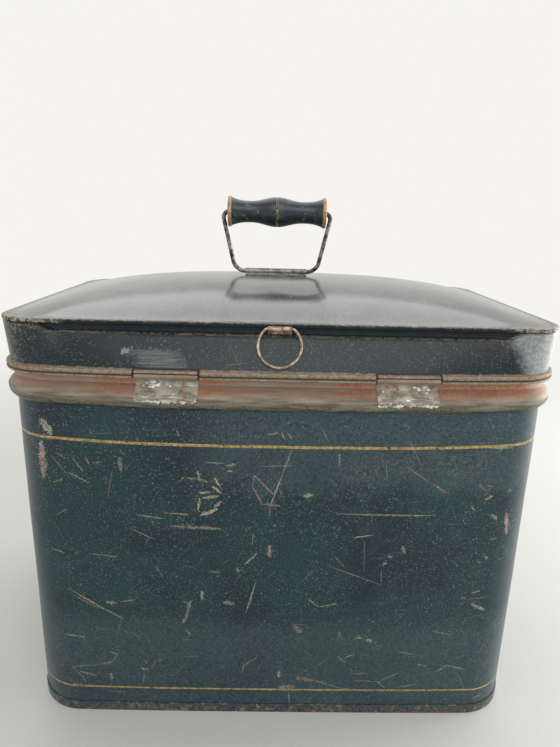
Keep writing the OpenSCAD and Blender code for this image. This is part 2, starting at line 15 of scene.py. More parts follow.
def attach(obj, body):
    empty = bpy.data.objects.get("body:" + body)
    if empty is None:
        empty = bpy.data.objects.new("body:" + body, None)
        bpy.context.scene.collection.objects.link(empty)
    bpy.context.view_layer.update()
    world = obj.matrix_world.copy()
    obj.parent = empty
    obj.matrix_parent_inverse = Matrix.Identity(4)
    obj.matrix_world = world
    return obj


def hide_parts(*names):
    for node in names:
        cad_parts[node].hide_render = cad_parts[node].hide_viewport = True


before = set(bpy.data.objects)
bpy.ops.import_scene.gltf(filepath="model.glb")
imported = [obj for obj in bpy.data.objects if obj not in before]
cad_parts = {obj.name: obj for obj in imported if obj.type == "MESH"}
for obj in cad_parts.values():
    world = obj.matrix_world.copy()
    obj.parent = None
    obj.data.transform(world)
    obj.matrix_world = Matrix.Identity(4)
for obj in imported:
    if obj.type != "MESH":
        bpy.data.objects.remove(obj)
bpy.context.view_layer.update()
MM = 0.001


# Node trees
class Val:
    """A socket of a node tree. Python's operators on it add Math nodes."""

    def __init__(self, tree, socket):
        self.tree = tree
        self.socket = socket

    def math(self, operation, *others):
        return self.tree.add("ShaderNodeMath", {"operation": operation}, [self, *others])

    def __add__(self, other):
        return self.math("ADD", other)

    def __sub__(self, other):
        return self.math("SUBTRACT", other)

    def __mul__(self, other):
        return self.math("MULTIPLY", other)

    def __abs__(self):
        return self.math("ABSOLUTE")

    def __rsub__(self, other):
        return self.tree.add("ShaderNodeMath", {"operation": "SUBTRACT"}, [other, self])

    def __rtruediv__(self, other):
        return self.tree.add("ShaderNodeMath", {"operation": "DIVIDE"}, [other, self])

    __radd__ = __add__
    __rmul__ = __mul__

    def both(self, other):
        """The smaller of two masks."""
        return self.math("MINIMUM", other)

    def either(self, other):
        """The larger of two masks."""
        return self.math("MAXIMUM", other)

    def step(self, low, high):
        """0 below low and 1 above high, smooth between, or the other way where high is below low."""
        return self.tree.add(
            "ShaderNodeMapRange", {"interpolation_type": "SMOOTHSTEP"}, [self, low, high, 0.0, 1.0]
        )

    def zone(self, low, high, soft):
        """1 between low and high, fading over soft."""
        return self.step(low - soft, low + soft).both(self.step(high + soft, high - soft))


class Tree:
    """A node tree that is written as expressions."""

    def __init__(self, tree):
        self.tree = tree

    def add(self, kind, settings=None, inputs=(), out=0):
        """A node of a kind, with its settings and its inputs by place or name. Gives one output."""
        node = self.tree.nodes.new(kind)
        for name, value in (settings or {}).items():
            setattr(node, name, value)
        pairs = inputs.items() if isinstance(inputs, dict) else enumerate(inputs)
        for key, value in pairs:
            if isinstance(value, Val):
                self.tree.links.new(value.socket, node.inputs[key])
            else:
                node.inputs[key].default_value = value
        return Val(self, node.outputs[out]) if node.outputs else node

    def noise(self, vector, scale, detail=2.0, rough=0.5):
        inputs = {"Vector": vector, "Scale": scale, "Detail": detail, "Roughness": rough}
        return self.add("ShaderNodeTexNoise", None, inputs)

    def stretch(self, vector, scale):
        return self.add("ShaderNodeMapping", None, {"Vector": vector, "Scale": scale})

    def mix(self, share, first, second):
        """Colours mixed by a mask."""
        return self.add("ShaderNodeMix", {"data_type": "RGBA"}, {0: share, 6: first, 7: second}, 2)

    def merge(self, x, y, z):
        return self.add("ShaderNodeCombineXYZ", None, [x, y, z])

    def split(self, vector):
        node = self.add("ShaderNodeSeparateXYZ", None, [vector]).socket.node
        return [Val(self, node.outputs[i]) for i in range(3)]


class Finish(Tree):
    """A material whose patterns are measured in millimetres on the object."""

    def __init__(self, name):
        self.material = bpy.data.materials.new(name)
        self.material.use_nodes = True
        super().__init__(self.material.node_tree)
        self.shader = self.tree.nodes["Principled BSDF"]
        place = self.add("ShaderNodeTexCoord", out=3)
        self.at = self.add("ShaderNodeVectorMath", {"operation": "SCALE"}, {0: place, 3: 1 / MM})
        self.x, self.y, self.z = self.split(self.at)

    def show(self, colour, rough, metal=0.0, height=None, depth=0.1, **fixed):
        """Feeds the shader. depth is the bump's height in millimetres, and fixed are plain values."""
        inputs = {"Base Color": colour, "Roughness": rough, "Metallic": metal}
        for key, value in inputs.items():
            if isinstance(value, Val):
                self.tree.links.new(value.socket, self.shader.inputs[key])
            else:
                self.shader.inputs[key].default_value = value
        if height is not None:
            bump = self.add("ShaderNodeBump", None, {"Distance": depth * MM, "Height": height})
            self.tree.links.new(bump.socket, self.shader.inputs["Normal"])
        for key, value in fixed.items():
            self.shader.inputs[key.replace("_", " ")].default_value = value
        return self.material


def grey(value):
    return (value, value, value, 1.0)


# Sizes of the trunk that its boxes don't give
HALF_W = 200.0
HALF_D = 120.0
NECK_W = HALF_W - 3.5
SHEET = 0.7
FOOT_CORNER, NECK_CORNER = 38.0, 29.0
BEAD_Z, BEAD_H, BEAD_OUT, NECK_IN = 272.0, 16.0, 5.5, 0.6
NECK_Z = BEAD_Z + BEAD_H
NECK_TOP = 308.0
BULGE_AT = [(0, 2), (247, 18), (272, 15), (280.8, 15), (288, 10), (293.3, 10), (308, 6.5)]
BEAD_SHAPE = [(0, 0), (0.14, 0.55), (0.32, 0.9), (0.55, 1), (0.7, 0.82), (0.86, 0.4)]
# How far the wall stands out of its plane at the heights of the bead and the neck
WALL_OUT = [(BEAD_Z + BEAD_H * s, BEAD_OUT * v) for s, v in BEAD_SHAPE]
WALL_OUT += [(NECK_Z, -NECK_IN), (NECK_TOP, -NECK_IN)]
RIM_Z, RIM_H, RIM_OUT = 293.3, 6.0, 5.6
RIM_TOP = RIM_Z + RIM_H
LID_IN, LID_OUT = 2.0, 2.7
RIM_BULGE = 10.0
CREASE_Z, CREASE_BULGE = 322.5, 3.5
SEAM_Z = 331.0
FLUSH_OUT, FLUSH_Z, FLUSH_X = 2.4, 327.75, (154.0, 171.0)
TOP_W, TOP_D, TOP_CORNER, LIP_OUT, LIP_H = 403.0, 243.0, 27.0, 3.0, 3.0
SKIRT_W, SKIRT_D, SKIRT_CORNER = TOP_W / 2 - LIP_OUT, TOP_D / 2 - LIP_OUT, TOP_CORNER - LIP_OUT
DOME_H = 20.5
BULGE_POWER, CREASE_POWER = 3, 5
PAN_PLAY, PAN_H = 0.1, 8.8
HINGES = {"left": -79.0, "right": 87.0}
STRAP_W, STRAP_T, STRAP_DROP, NOTCH_GAP = 43.0, 0.9, 14.0, 0.9
PIN_R, PIN_PLAY = 1.0, 0.05
HINGE_Y, HINGE_Z = -133.041, 295.1
SEAT = 0.1
HANDLE_X, GRIP_AXIS_Z = -5.0, 404.9
GRIP_LEN, GRIP_END_R, GRIP_END_T = 83.5, 12.6, 3.0
GRIP_WAIST_R, GRIP_BELLY_R, GRIP_WAIST_X = 8.9, 12.4, 23.0
GRIP_HOLLOW_R, GRIP_HOLLOW_D, BORE_R = 4.0, 5.0, 1.86
# Height and width of the gold lines
LINES = [(247.0, 1.9), (24.5, 1.4)]

# The photo's camera, as fitted to the trunk's edges. Yaw and roll are in radians
PHOTO_W, PHOTO_H = 560, 747
SENSOR, FOCAL_PX = 36.0, 566
EYE = (-8.1, -504.2, 403.2)
PITCH_DEG, YAW, ROLL = 15.69, 0.0179, 0.0254


# Sheet shapes
def through(points, at):
    """A smooth curve through points, with no overshoot between them."""
    xs, ys = np.array(points, float).T
    slopes = np.diff(ys) / np.diff(xs)
    turns = [0.0 if p * q <= 0 else 2 * p * q / (p + q) for p, q in zip(slopes, slopes[1:])]
    ends = np.array([slopes[0], *turns, slopes[-1]])
    at = np.clip(np.asarray(at, float), xs[0], xs[-1])
    k = np.clip(np.searchsorted(xs, at) - 1, 0, len(xs) - 2)
    h = xs[k + 1] - xs[k]
    t = (at - xs[k]) / h
    return (
        ys[k] * (1 + 2 * t) * (1 - t) ** 2
        + ends[k] * h * t * (1 - t) ** 2
        + ys[k + 1] * t * t * (3 - 2 * t)
        + ends[k + 1] * h * t * t * (t - 1)
    )


def mix(first, second, share):
    return first + (second - first) * min(1.0, max(0.0, share))


def columns(step):
    """Where an outline's columns lie, anticlockwise from the hinge side's right corner. Each is how far
    it lies along the straights (x and y) and which way it points out (x and y)."""
    r = (FOOT_CORNER + NECK_CORNER) / 2
    round_n = round(math.pi / 2 * r / step)
    side_n = [round(2 * (half - r) / step) for half in (HALF_D, HALF_W)]
    made = []
    for k, (sx, sy) in enumerate([(1, -1), (1, 1), (-1, 1), (-1, -1)]):
        for i in range(round_n):
            turn = math.radians(90 * (k - 1 + i / round_n))
            made.append((sx, sy, math.cos(turn), math.sin(turn)))
        n = side_n[k % 2]
        out = [(1, 0), (0, 1), (-1, 0), (0, -1)][k]
        for i in range(n):
            along = 1 - 2 * i / n
            made.append((sx if k % 2 == 0 else sx * along, sy * along if k % 2 == 0 else sy, *out))
    return np.array(made, float)


def ring(cols, a, b, r, bulge, z, power, share=1.0):
    """Points of one outline, with half sizes a and b, corner r and the long sides' bulge."""
    x = cols[:, 0] * (a - r) + cols[:, 2] * r
    y = cols[:, 1] * (b - r) + cols[:, 3] * r
    y = y + np.sign(y) * bulge * (1 - np.minimum(1, np.abs(x) / a) ** power)
    return np.stack([x * share, y * share, np.full(len(x), float(z))], 1)


def mesh_object(name, points, faces):
    mesh = bpy.data.meshes.new(name)
    mesh.from_pydata((np.asarray(points) * MM).tolist(), [], faces)
    mesh.update()
    obj = bpy.data.objects.new(name, mesh)
    bpy.context.scene.collection.objects.link(obj)
    return obj


def fill(layer, values):
    key = "vector" if layer.data_type == "FLOAT_VECTOR" else "value"
    layer.data.foreach_set(key, np.asarray(values, np.float32).ravel())


def give(obj, name, kind, values):
    """Stores a point attribute on an object's mesh."""
    fill(obj.data.attributes.new(name, kind, "POINT"), values)


def skin(name, cols, rings, loose, closed=True, poles=None):
    """A shell from rings of points. It is closed from its last ring to its first, or has two poles.
    loose says for each ring how much dents may move it."""
    n, m = len(cols), len(rings)
    points = np.concatenate(rings)
    out = np.tile(np.column_stack([cols[:, 2:], np.zeros(n)]), (m, 1))
    free = np.repeat(loose, n)
    following = [(i, (i + 1) % n) for i in range(n)]
    last = m if closed else m - 1
    faces = [
        (j * n + i, j * n + k, ((j + 1) % m) * n + k, ((j + 1) % m) * n + i)
        for j in range(last)
        for i, k in following
    ]
    if poles:
        points = np.concatenate([points, np.array(poles, float)])
        out = np.concatenate([out, np.zeros((2, 3))])
        free = np.concatenate([free, [0, 0]])
        faces += [(k, i, m * n) for i, k in following]
        faces += [((m - 1) * n + i, (m - 1) * n + k, m * n + 1) for i, k in following]
    obj = mesh_object(name, points, faces)
    give(obj, "outward", "FLOAT_VECTOR", out)
    give(obj, "loose", "FLOAT", free)
    return obj


# Geometry Nodes
def tree_with(name, sockets):
    """A geometry tree with named inputs. Gives its writer and its inputs by name."""
    group = bpy.data.node_groups.new(name, "GeometryNodeTree")
    group.interface.new_socket("Geometry", in_out="INPUT", socket_type="NodeSocketGeometry")
    for label, kind in sockets:
        group.interface.new_socket(label, in_out="INPUT", socket_type=kind)
    group.interface.new_socket("Geometry", in_out="OUTPUT", socket_type="NodeSocketGeometry")
    tree = Tree(group)
    node = group.nodes.new("NodeGroupInput")
    return tree, {s.name: Val(tree, s) for s in node.outputs if s.name}


def end_tree(tree, shape, material):
    """Realizes instances, sets the material and sends the shape out."""
    real = tree.add("GeometryNodeRealizeInstances", None, {"Geometry": shape})
    smooth = tree.add("GeometryNodeSetShadeSmooth", None, {"Geometry": real})
    done = tree.add("GeometryNodeSetMaterial", None, {"Geometry": smooth, "Material": material})
    node = tree.tree.nodes.new("NodeGroupOutput")
    tree.tree.links.new(done.socket, node.inputs[0])
    return tree.tree


def apply_tree(obj, group, **values):
    """Runs a geometry tree with its named inputs."""
    modifier = obj.modifiers.new(group.name, "NODES")
    modifier.node_group = group
    for item in group.interface.items_tree:
        if item.in_out == "INPUT" and item.name.replace(" ", "_") in values:
            modifier[item.identifier] = values[item.name.replace(" ", "_")]
    return make_plain(obj)


def make_plain(obj, sharp=35.0):
    """Replaces an object's mesh by the result of its modifiers."""
    graph = bpy.context.evaluated_depsgraph_get()
    mesh = bpy.data.meshes.new_from_object(obj.evaluated_get(graph))
    obj.modifiers.clear()
    obj.data = mesh
    for name in ("outward", "loose", "size"):
        if name in mesh.attributes:
            mesh.attributes.remove(mesh.attributes[name])
    mesh.shade_smooth()
    mesh.set_sharp_from_angle(angle=math.radians(sharp))
    return obj


def attribute(tree, name, kind="FLOAT"):
    return tree.add("GeometryNodeInputNamedAttribute", {"data_type": kind}, {"Name": name})


def dented_tree():
    """Old sheet metal: broad shallow dents and smaller ripples, along the outward direction."""
    sockets = [
        ("Dent Depth", "NodeSocketFloat"),
        ("Dent Size", "NodeSocketFloat"),
        ("Ripple Depth", "NodeSocketFloat"),
        ("Ripple Size", "NodeSocketFloat"),
        ("Seed", "NodeSocketFloat"),
        ("Material", "NodeSocketMaterial"),
    ]
    tree, given = tree_with("Dented sheet", sockets)
    place = tree.add("GeometryNodeInputPosition")

    def wave(depth, size, shift):
        noise = tree.add(
            "ShaderNodeTexNoise",
            {"noise_dimensions": "4D"},
            {"Vector": place, "W": given["Seed"] + shift, "Scale": 1 / given[size], "Detail": 1.0},
        )
        return (noise - 0.5) * 2 * given[depth]

    high = wave("Dent Depth", "Dent Size", 0.0) + wave("Ripple Depth", "Ripple Size", 7.3)
    push = high * attribute(tree, "loose")
    offset = tree.add(
        "ShaderNodeVectorMath",
        {"operation": "SCALE"},
        {0: attribute(tree, "outward", "FLOAT_VECTOR"), 3: push},
    )
    moved = tree.add("GeometryNodeSetPosition", None, {"Geometry": given["Geometry"], "Offset": offset})
    return end_tree(tree, moved, given["Material"])


# Outlines of the trunk at a height, at an offset from the outer face
def wall_w(z):
    return mix(HALF_W, NECK_W, z / BEAD_Z)


def body_ring(cols, z, off):
    off += float(through(WALL_OUT, z))
    corner = mix(FOOT_CORNER, NECK_CORNER, z / BEAD_Z) + off
    bulge = float(through(BULGE_AT, z))
    return ring(cols, wall_w(z) + off, HALF_D + off, corner, bulge, z, BULGE_POWER)


def rim_ring(cols, z, off):
    return ring(cols, NECK_W + off, HALF_D + off, NECK_CORNER + off, RIM_BULGE, z, BULGE_POWER)


def lid_ring(cols, share, off, flush=0.0):
    """A level of the lid's wall, from its rim to its crease. flush is for the short sides, where the
    wall runs up to the lip and stands out as far."""
    a = mix(NECK_W + LID_OUT, SKIRT_W + flush, share) + off
    b = mix(HALF_D + LID_OUT, SKIRT_D + flush, share) + off
    corner = mix(NECK_CORNER + LID_OUT, SKIRT_CORNER + flush, share) + off
    z = mix(RIM_TOP, FLUSH_Z if flush else CREASE_Z, share)
    power = mix(BULGE_POWER, CREASE_POWER, share)
    return ring(cols, a, b, corner, mix(RIM_BULGE, CREASE_BULGE, share), z, power)


def skirt_ring(cols, z, off, bulge=0.0):
    return ring(cols, SKIRT_W + off, SKIRT_D + off, SKIRT_CORNER + off, bulge, z, CREASE_POWER)


def top_ring(cols, z, off, share=1.0):
    a, b, r = TOP_W / 2 + off, TOP_D / 2 + off, TOP_CORNER + off
    return ring(cols, a, b, r, 0.0, z, CREASE_POWER, share)


def bulge_in(x, bulge, half):
    """How much of a long side's bulge is left at x, on a side of that half width."""
    return bulge * (1 - (np.abs(x) / half) ** BULGE_POWER)


def body_skin(x, z):
    """Distance of the body's outer face from the middle plane, at x and z on a long side."""
    return HALF_D + through(WALL_OUT, z) + bulge_in(x, through(BULGE_AT, z), wall_w(float(z)))


def finish_piece(obj, body, replaces=()):
    """Says what a piece rides on and which nodes it stands for, and hides those nodes."""
    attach(obj, body)
    if replaces:
        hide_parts(*replaces)
    return obj


def line_with(obj, material, inside):
    """Gives the faces that lie inside their own material. inside says which, from centre and normal."""
    obj.data.materials.append(material)
    slot = len(obj.data.materials) - 1
    for face in obj.data.polygons:
        if inside(face.center / MM, face.normal):
            face.material_index = slot


def turned_in(at, way):
    """Whether a face of a wall looks to the middle of the trunk."""
    return at.x * way.x + at.y * way.y < -0.35 * math.hypot(at.x, at.y)


# Body
def body_shell(material, lining):
    cols = columns(2.4)
    low = SHEET + SEAT
    bead = np.linspace(BEAD_Z, NECK_Z, 17)[1:]
    outer = [*np.linspace(low, BEAD_Z, 114), *bead, *np.linspace(NECK_Z, NECK_TOP, 10)[1:]]
    inner = [*np.linspace(NECK_TOP, BEAD_Z, 16), *np.linspace(BEAD_Z, low, 24)[1:]]
    rings = [body_ring(cols, z, 0.0) for z in outer] + [body_ring(cols, z, -SHEET) for z in inner]
    foot_held, bead_held = 12.0, 266.0
    fade = 28.0
    loose = [max(0.0, min(1.0, (z - foot_held) / fade, (bead_held - z) / fade)) for z in outer + inner]
    obj = skin("body_shell", cols, rings, loose)
    dent_metal(obj, material, dent=0.42, dent_size=75, ripple=0.05, ripple_size=14, seed=3.0)
    line_with(obj, lining, turned_in)
    return finish_piece(obj, "box", ["body_wall"])


def bottom_tray(material, lining):
    """The flat bottom, with a turned-up edge that is folded round the foot of the wall."""
    cols = columns(3.0)
    out = PAN_PLAY + SHEET
    edge = [(-1.2, 0.0), (-0.6, 0.0), (-0.25, 0.1), (-0.07, 0.3), (0.0, 0.7), (0.03, 2.5), (0.0, 4.5),
            (-0.03, 6.5), (0.0, 7.9), (-0.12, 8.5), (-0.35, PAN_H), (-0.6, 8.6), (-0.7, 8.2), (-0.7, 1.2),
            (-1.3, 0.7), (-2.5, 0.7)]
    rings = [body_ring(cols, z, out + off) for off, z in edge]
    poles = [(0, 0, 0), (0, 0, SHEET)]
    loose = [1.0 if 2.0 < z < 8.9 else 0.0 for off, z in edge]
    obj = skin("bottom_tray", cols, rings, loose, closed=False, poles=poles)
    dent_metal(obj, material, dent=0.1, dent_size=25, ripple=0.06, ripple_size=6, seed=11.0)
    line_with(obj, lining, lambda at, way: way.z > 0.5 and at.z < 2)
    return finish_piece(obj, "box", ["bottom_pan"])


# Lid
def lid_band(material, shaded, lining):
    """The lid's wall, from its folded and wired rim to the skirt under the lip."""
    cols = columns(2.4)
    folded = [(LID_IN + 0.3, 0.25), (LID_IN + 0.9, 0.0), (RIM_OUT - 1.3, 0.0), (RIM_OUT - 0.45, 0.25),
              (RIM_OUT - 0.08, 0.8), (RIM_OUT - 0.05, 1.5), (RIM_OUT - 0.35, 2.05), (RIM_OUT - 0.9, 2.35),
              (RIM_OUT - 0.45, 2.75), (RIM_OUT - 0.1, 3.3), (RIM_OUT, 4.1), (RIM_OUT - 0.12, 4.9),
              (RIM_OUT - 0.6, 5.5), (RIM_OUT - 1.5, 5.85)]
    rings = [rim_ring(cols, RIM_Z + up, off) for off, up in folded]
    loose = [0.25] * len(rings)
    share = flush_share(np.abs(cols[:, 0]) * (SKIRT_W - SKIRT_CORNER))[:, None]

    def add(level, flush_level, free):
        rings.append(level * (1 - share) + flush_level * share)
        loose.append(free)

    for t in [0.01, *np.linspace(0.05, 0.965, 10)]:
        add(lid_ring(cols, t, 0.0), lid_ring(cols, t, 0.0, FLUSH_OUT), 1.0)
    crease = [(-0.3, -0.1, 3.3), (0.15, -0.1, 2.7), (0.5, 0.0, 1.8), (0.8, 0.0, 0.9), (1.3, 0.0, 0.2)]
    for k, (up, off, bulge) in enumerate(crease):
        corner = skirt_ring(cols, FLUSH_Z + 0.04 * k, FLUSH_OUT * (0.93 - 0.22 * k))
        add(skirt_ring(cols, CREASE_Z + up, off, bulge), corner, 0.6)
    for z in [CREASE_Z + 2.0, CREASE_Z + 4.5, SEAM_Z - LIP_H, SEAM_Z - SEAT]:
        add(skirt_ring(cols, z, 0.0), skirt_ring(cols, max(z, SEAM_Z - LIP_H), 0.0), 0.5)
    for z in [SEAM_Z - SEAT, SEAM_Z - LIP_H, CREASE_Z + 1.2]:
        add(skirt_ring(cols, z, -SHEET), skirt_ring(cols, max(z, FLUSH_Z - 0.6), -SHEET), 0.5)
    for t in [0.94, *np.linspace(0.82, 0.0, 5)]:
        add(lid_ring(cols, t, -SHEET), lid_ring(cols, t, -SHEET, FLUSH_OUT), 1.0)
    rings += [rim_ring(cols, RIM_Z + 1.0, LID_IN)]
    loose += [0.25]
    obj = skin("lid_band", cols, rings, loose)
    dent_metal(obj, material, dent=0.3, dent_size=70, ripple=0.06, ripple_size=12, seed=5.0)
    for name, x in HINGES.items():
        cut_notch(obj, name, x)
    # Faces above the crease, and above the flush line at the ends, take the near-black enamel of painted
    # shade.
    obj.data.materials.append(shaded)
    for face in obj.data.polygons:
        x, _, z = face.center / MM
        edge = mix(CREASE_Z, FLUSH_Z, float(flush_share(abs(x))))
        face.material_index = int(z > edge + 0.7)
    line_with(obj, lining, turned_in)
    return finish_piece(obj, "lid", ["lid_wall"])


def flush_share(x):
    """0 along the middle of the long sides and 1 at their ends and round the short sides."""
    share = np.clip((x - FLUSH_X[0]) / (FLUSH_X[1] - FLUSH_X[0]), 0, 1)
    return share * share * (3 - 2 * share)


def cut_notch(obj, name, x):
    """Cuts the gap in the rim where a hinge strap holds the wire."""
    half = STRAP_W / 2 + NOTCH_GAP
    top = HINGE_Z + PIN_R + STRAP_T + 0.6
    xs, ys, zs = (x - half, x + half), (HINGE_Y - 6, HINGE_Y + 6), (RIM_Z - 1, top)
    points = [(a, b, c) for c in zs for b in ys for a in xs]
    faces = [(0, 2, 3, 1), (4, 5, 7, 6), (0, 1, 5, 4), (2, 6, 7, 3), (0, 4, 6, 2), (1, 3, 7, 5)]
    cutter = mesh_object("notch_cutter_" + name, points, faces)
    modifier = obj.modifiers.new("Notch", "BOOLEAN")
    modifier.operation = "DIFFERENCE"
    modifier.object = cutter
    modifier.solver = "EXACT"
    make_plain(obj)
    bpy.data.objects.remove(cutter)


def lid_dome(material, shaded, lining):
    """The domed top with its rolled lip."""
    cols = columns(3.2)

    def dome_ring(share, drop):
        points = top_ring(cols, 0.0, 0.0, share)
        across = (np.abs(points[:, 0]) / (TOP_W / 2)).clip(0, 1)
        along = (np.abs(points[:, 1]) / (TOP_D / 2)).clip(0, 1)
        rise = DOME_H * (1 - across**3) * (1 - along**2.6) * (1 - share**16)
        points[:, 2] = SEAM_Z + rise - drop
        return points

    shares = [*np.linspace(0.03, 0.9, 44), 0.925, 0.95, 0.965, 0.98]
    under = [0.05, 0.2, 0.35, 0.5, 0.65, 0.78, 0.87, 0.94]
    lip = [(SEAT - LIP_OUT, 0.0), (SEAT - LIP_OUT, -LIP_H), (-1.2, -LIP_H), (-0.5, 0.12 - LIP_H),
           (-0.1, 0.5 - LIP_H), (0.0, 1.0 - LIP_H), (0.0, -1.0), (-0.1, -0.5), (-0.4, -0.1),
           (-1.0, 0.16), (-2.0, 0.34), (-3.0, 0.5)]
    rings = [dome_ring(share, SHEET) for share in under]
    rings += [top_ring(cols, SEAM_Z + up, off) for off, up in lip]
    rings += [dome_ring(share, 0.0) for share in reversed(shares)]
    poles = [(0, 0, SEAM_Z + DOME_H - SHEET), (0, 0, SEAM_Z + DOME_H)]
    loose = [1.0] * 6 + [0.4, 0.2] + [0.0] * len(lip)
    loose += [min(1.0, (1 - share) / 0.12) for share in reversed(shares)]
    obj = skin("lid_dome", cols, rings, loose, closed=False, poles=poles)
    spots = np.array([v.co for v in obj.data.vertices]) / MM
    foot = np.maximum(np.abs(spots[:, 0] - HANDLE_X) - 32, np.abs(spots[:, 1]) - 12)
    free = np.repeat(loose + [1.0], [len(cols)] * len(loose) + [2]) * (foot / 25).clip(0, 1)
    fill(obj.data.attributes["outward"], np.tile([0.0, 0.0, 1.0], (len(spots), 1)))
    fill(obj.data.attributes["loose"], free)
    dent_metal(obj, material, dent=0.45, dent_size=80, ripple=0.07, ripple_size=18, seed=9.0)
    # Faces below the seam, the lip's, take the near-black enamel of painted shade.
    obj.data.materials.append(shaded)
    for face in obj.data.polygons:
        face.material_index = int(face.center.z / MM < SEAM_Z - 0.02)

    def underside(at, way):
        margin = 2 * LIP_OUT
        return way.z < -0.3 and abs(at.x) < TOP_W / 2 - margin and abs(at.y) < TOP_D / 2 - margin

    line_with(obj, lining, underside)
    return finish_piece(obj, "lid", ["lid_top"])


def dent_metal(obj, material, dent, dent_size, ripple, ripple_size, seed):
    group = bpy.data.node_groups.get("Dented sheet") or dented_tree()
    apply_tree(
        obj,
        group,
        Dent_Depth=dent * MM,
        Dent_Size=dent_size * MM,
        Ripple_Depth=ripple * MM,
        Ripple_Size=ripple_size * MM,
        Seed=seed,
        Material=material,
    )


# Scrapes on the hinge side, where the paint is gone, as read in four enlarged parts of the
# photo. A part has its upper left corner in the photo's pixels and its enlargement. A scrape has the
# x and y of both ends and its width, in pixels of the enlarged part.
SCRAPE_VIEWS = [
    ((20, 420), 5.6, [
        (1525, 165, 1470, 300, 14), (1470, 300, 1400, 470, 13), (1400, 470, 1390, 545, 7),
        (1315, 305, 1420, 410, 13), (1300, 370, 1360, 465, 16), (1360, 465, 1450, 475, 20),
        (1315, 305, 1300, 370, 8), (895, 335, 915, 315, 12), (935, 315, 980, 325, 10),
        (995, 285, 1005, 320, 14), (1000, 330, 1050, 345, 14), (1090, 325, 1125, 370, 16),
        (1010, 400, 1060, 400, 16), (1030, 430, 1110, 420, 22), (1080, 370, 1120, 400, 20),
        (1010, 440, 1000, 490, 16), (1020, 525, 1100, 490, 22), (1090, 480, 1125, 455, 22),
        (1045, 240, 1135, 238, 9), (1160, 255, 1200, 250, 18), (1165, 280, 1190, 285, 12),
        (1350, 255, 1535, 255, 6), (655, 525, 815, 545, 11), (810, 508, 940, 520, 12),
        (855, 585, 1115, 600, 26), (400, 745, 545, 757, 10), (515, 270, 495, 435, 5),
        (560, 215, 565, 265, 34), (205, 525, 260, 490, 8), (175, 200, 270, 310, 9),
        (270, 290, 385, 345, 11), (190, 345, 240, 330, 14), (290, 205, 350, 280, 9),
        (370, 210, 390, 245, 12), (410, 240, 455, 235, 9), (210, 190, 250, 215, 12),
        (1265, 800, 1320, 745, 15), (1395, 700, 1398, 750, 30), (1070, 838, 1110, 842, 18),
        (1220, 820, 1222, 838, 16), (1320, 905, 1270, 1065, 10), (280, 945, 575, 1105, 13),
        (300, 975, 440, 1050, 8), (500, 1015, 530, 1015, 30), (560, 1012, 645, 1000, 9),
        (955, 1010, 930, 1100, 20), (1018, 955, 1018, 990, 24), (1150, 1015, 1185, 1018, 32),
        (625, 605, 760, 660, 5), (185, 720, 255, 738, 7), (1305, 630, 1300, 695, 6),
        (1385, 77, 1440, 75, 13), (1470, 72, 1475, 95, 12), (1500, 75, 1520, 105, 12),
        (770, 140, 810, 135, 12), (340, 119, 410, 117, 8), (882, 60, 884, 85, 8),
        (115, 140, 130, 300, 60), (130, 10, 160, 60, 60),
    ]),
    ((270, 420), 5.407, [
        (375, 500, 885, 510, 12), (735, 250, 855, 328, 7), (880, 345, 945, 385, 10),
        (460, 625, 555, 612, 10), (190, 408, 225, 398, 30), (350, 730, 400, 790, 6),
        (310, 775, 600, 885, 6), (600, 885, 600, 800, 6), (718, 680, 722, 708, 24),
        (640, 728, 652, 728, 20), (612, 775, 622, 765, 12), (210, 960, 260, 1000, 6),
        (260, 1000, 360, 985, 7), (1130, 350, 1160, 380, 10), (1170, 350, 1205, 355, 10),
        (1170, 425, 1195, 408, 18), (1085, 460, 1100, 485, 9), (1200, 510, 1220, 530, 20),
        (1185, 640, 1230, 632, 8), (1165, 735, 1172, 748, 16), (1120, 760, 1135, 775, 8),
        (1090, 930, 1130, 920, 10), (1090, 990, 1155, 1020, 14), (1280, 510, 1285, 610, 34),
        (1180, 152, 1310, 155, 9), (1238, 145, 1248, 152, 22), (375, 185, 378, 240, 16),
        (630, 220, 632, 320, 4), (505, 640, 510, 800, 4), (1040, 955, 1050, 955, 10),
        (1300, 375, 1305, 385, 16),
    ]),
    ((20, 600), 5.6, [
        (400, 10, 575, 95, 14), (575, 95, 545, 195, 7), (510, 290, 550, 300, 10),
        (545, 305, 520, 340, 12), (520, 340, 440, 362, 9), (440, 362, 300, 372, 7),
        (300, 378, 345, 420, 12), (345, 400, 425, 420, 13), (350, 425, 365, 450, 12),
        (700, 330, 715, 355, 9), (760, 340, 735, 385, 11), (690, 380, 715, 385, 18),
        (692, 400, 692, 460, 8), (1320, 320, 1250, 362, 12), (1250, 362, 1243, 395, 12),
        (945, 10, 942, 70, 18), (940, 70, 920, 115, 22), (575, 165, 650, 190, 5),
        (650, 190, 695, 240, 6), (515, 415, 516, 445, 18), (1450, 398, 1450, 425, 22),
        (1555, 430, 1560, 440, 20), (500, 505, 605, 515, 6), (310, 470, 370, 480, 24),
        (1465, 485, 1520, 490, 45), (1500, 510, 1508, 580, 8), (250, 190, 360, 200, 12),
        (915, 215, 955, 218, 8), (930, 160, 945, 180, 14),
    ]),
    ((270, 600), 5.407, [
        (110, 127, 205, 127, 5), (140, 145, 160, 160, 40), (365, 210, 375, 170, 7),
        (375, 170, 385, 205, 7), (1090, 25, 1155, 50, 13), (470, 200, 490, 203, 22),
        (530, 210, 540, 215, 26), (365, 300, 405, 330, 6), (400, 310, 450, 290, 6),
        (430, 370, 450, 398, 8), (450, 398, 510, 395, 8), (460, 435, 580, 440, 8),
        (580, 440, 695, 392, 8), (575, 440, 620, 475, 8), (160, 415, 220, 430, 32),
        (225, 425, 370, 475, 9), (690, 470, 790, 455, 8), (910, 380, 950, 352, 12),
        (950, 352, 1040, 370, 12), (880, 165, 985, 185, 6), (1120, 290, 1165, 240, 5),
        (1100, 530, 1150, 520, 16), (385, 480, 600, 490, 10), (800, 345, 840, 350, 8),
        (700, 280, 770, 290, 10),
    ]),
]


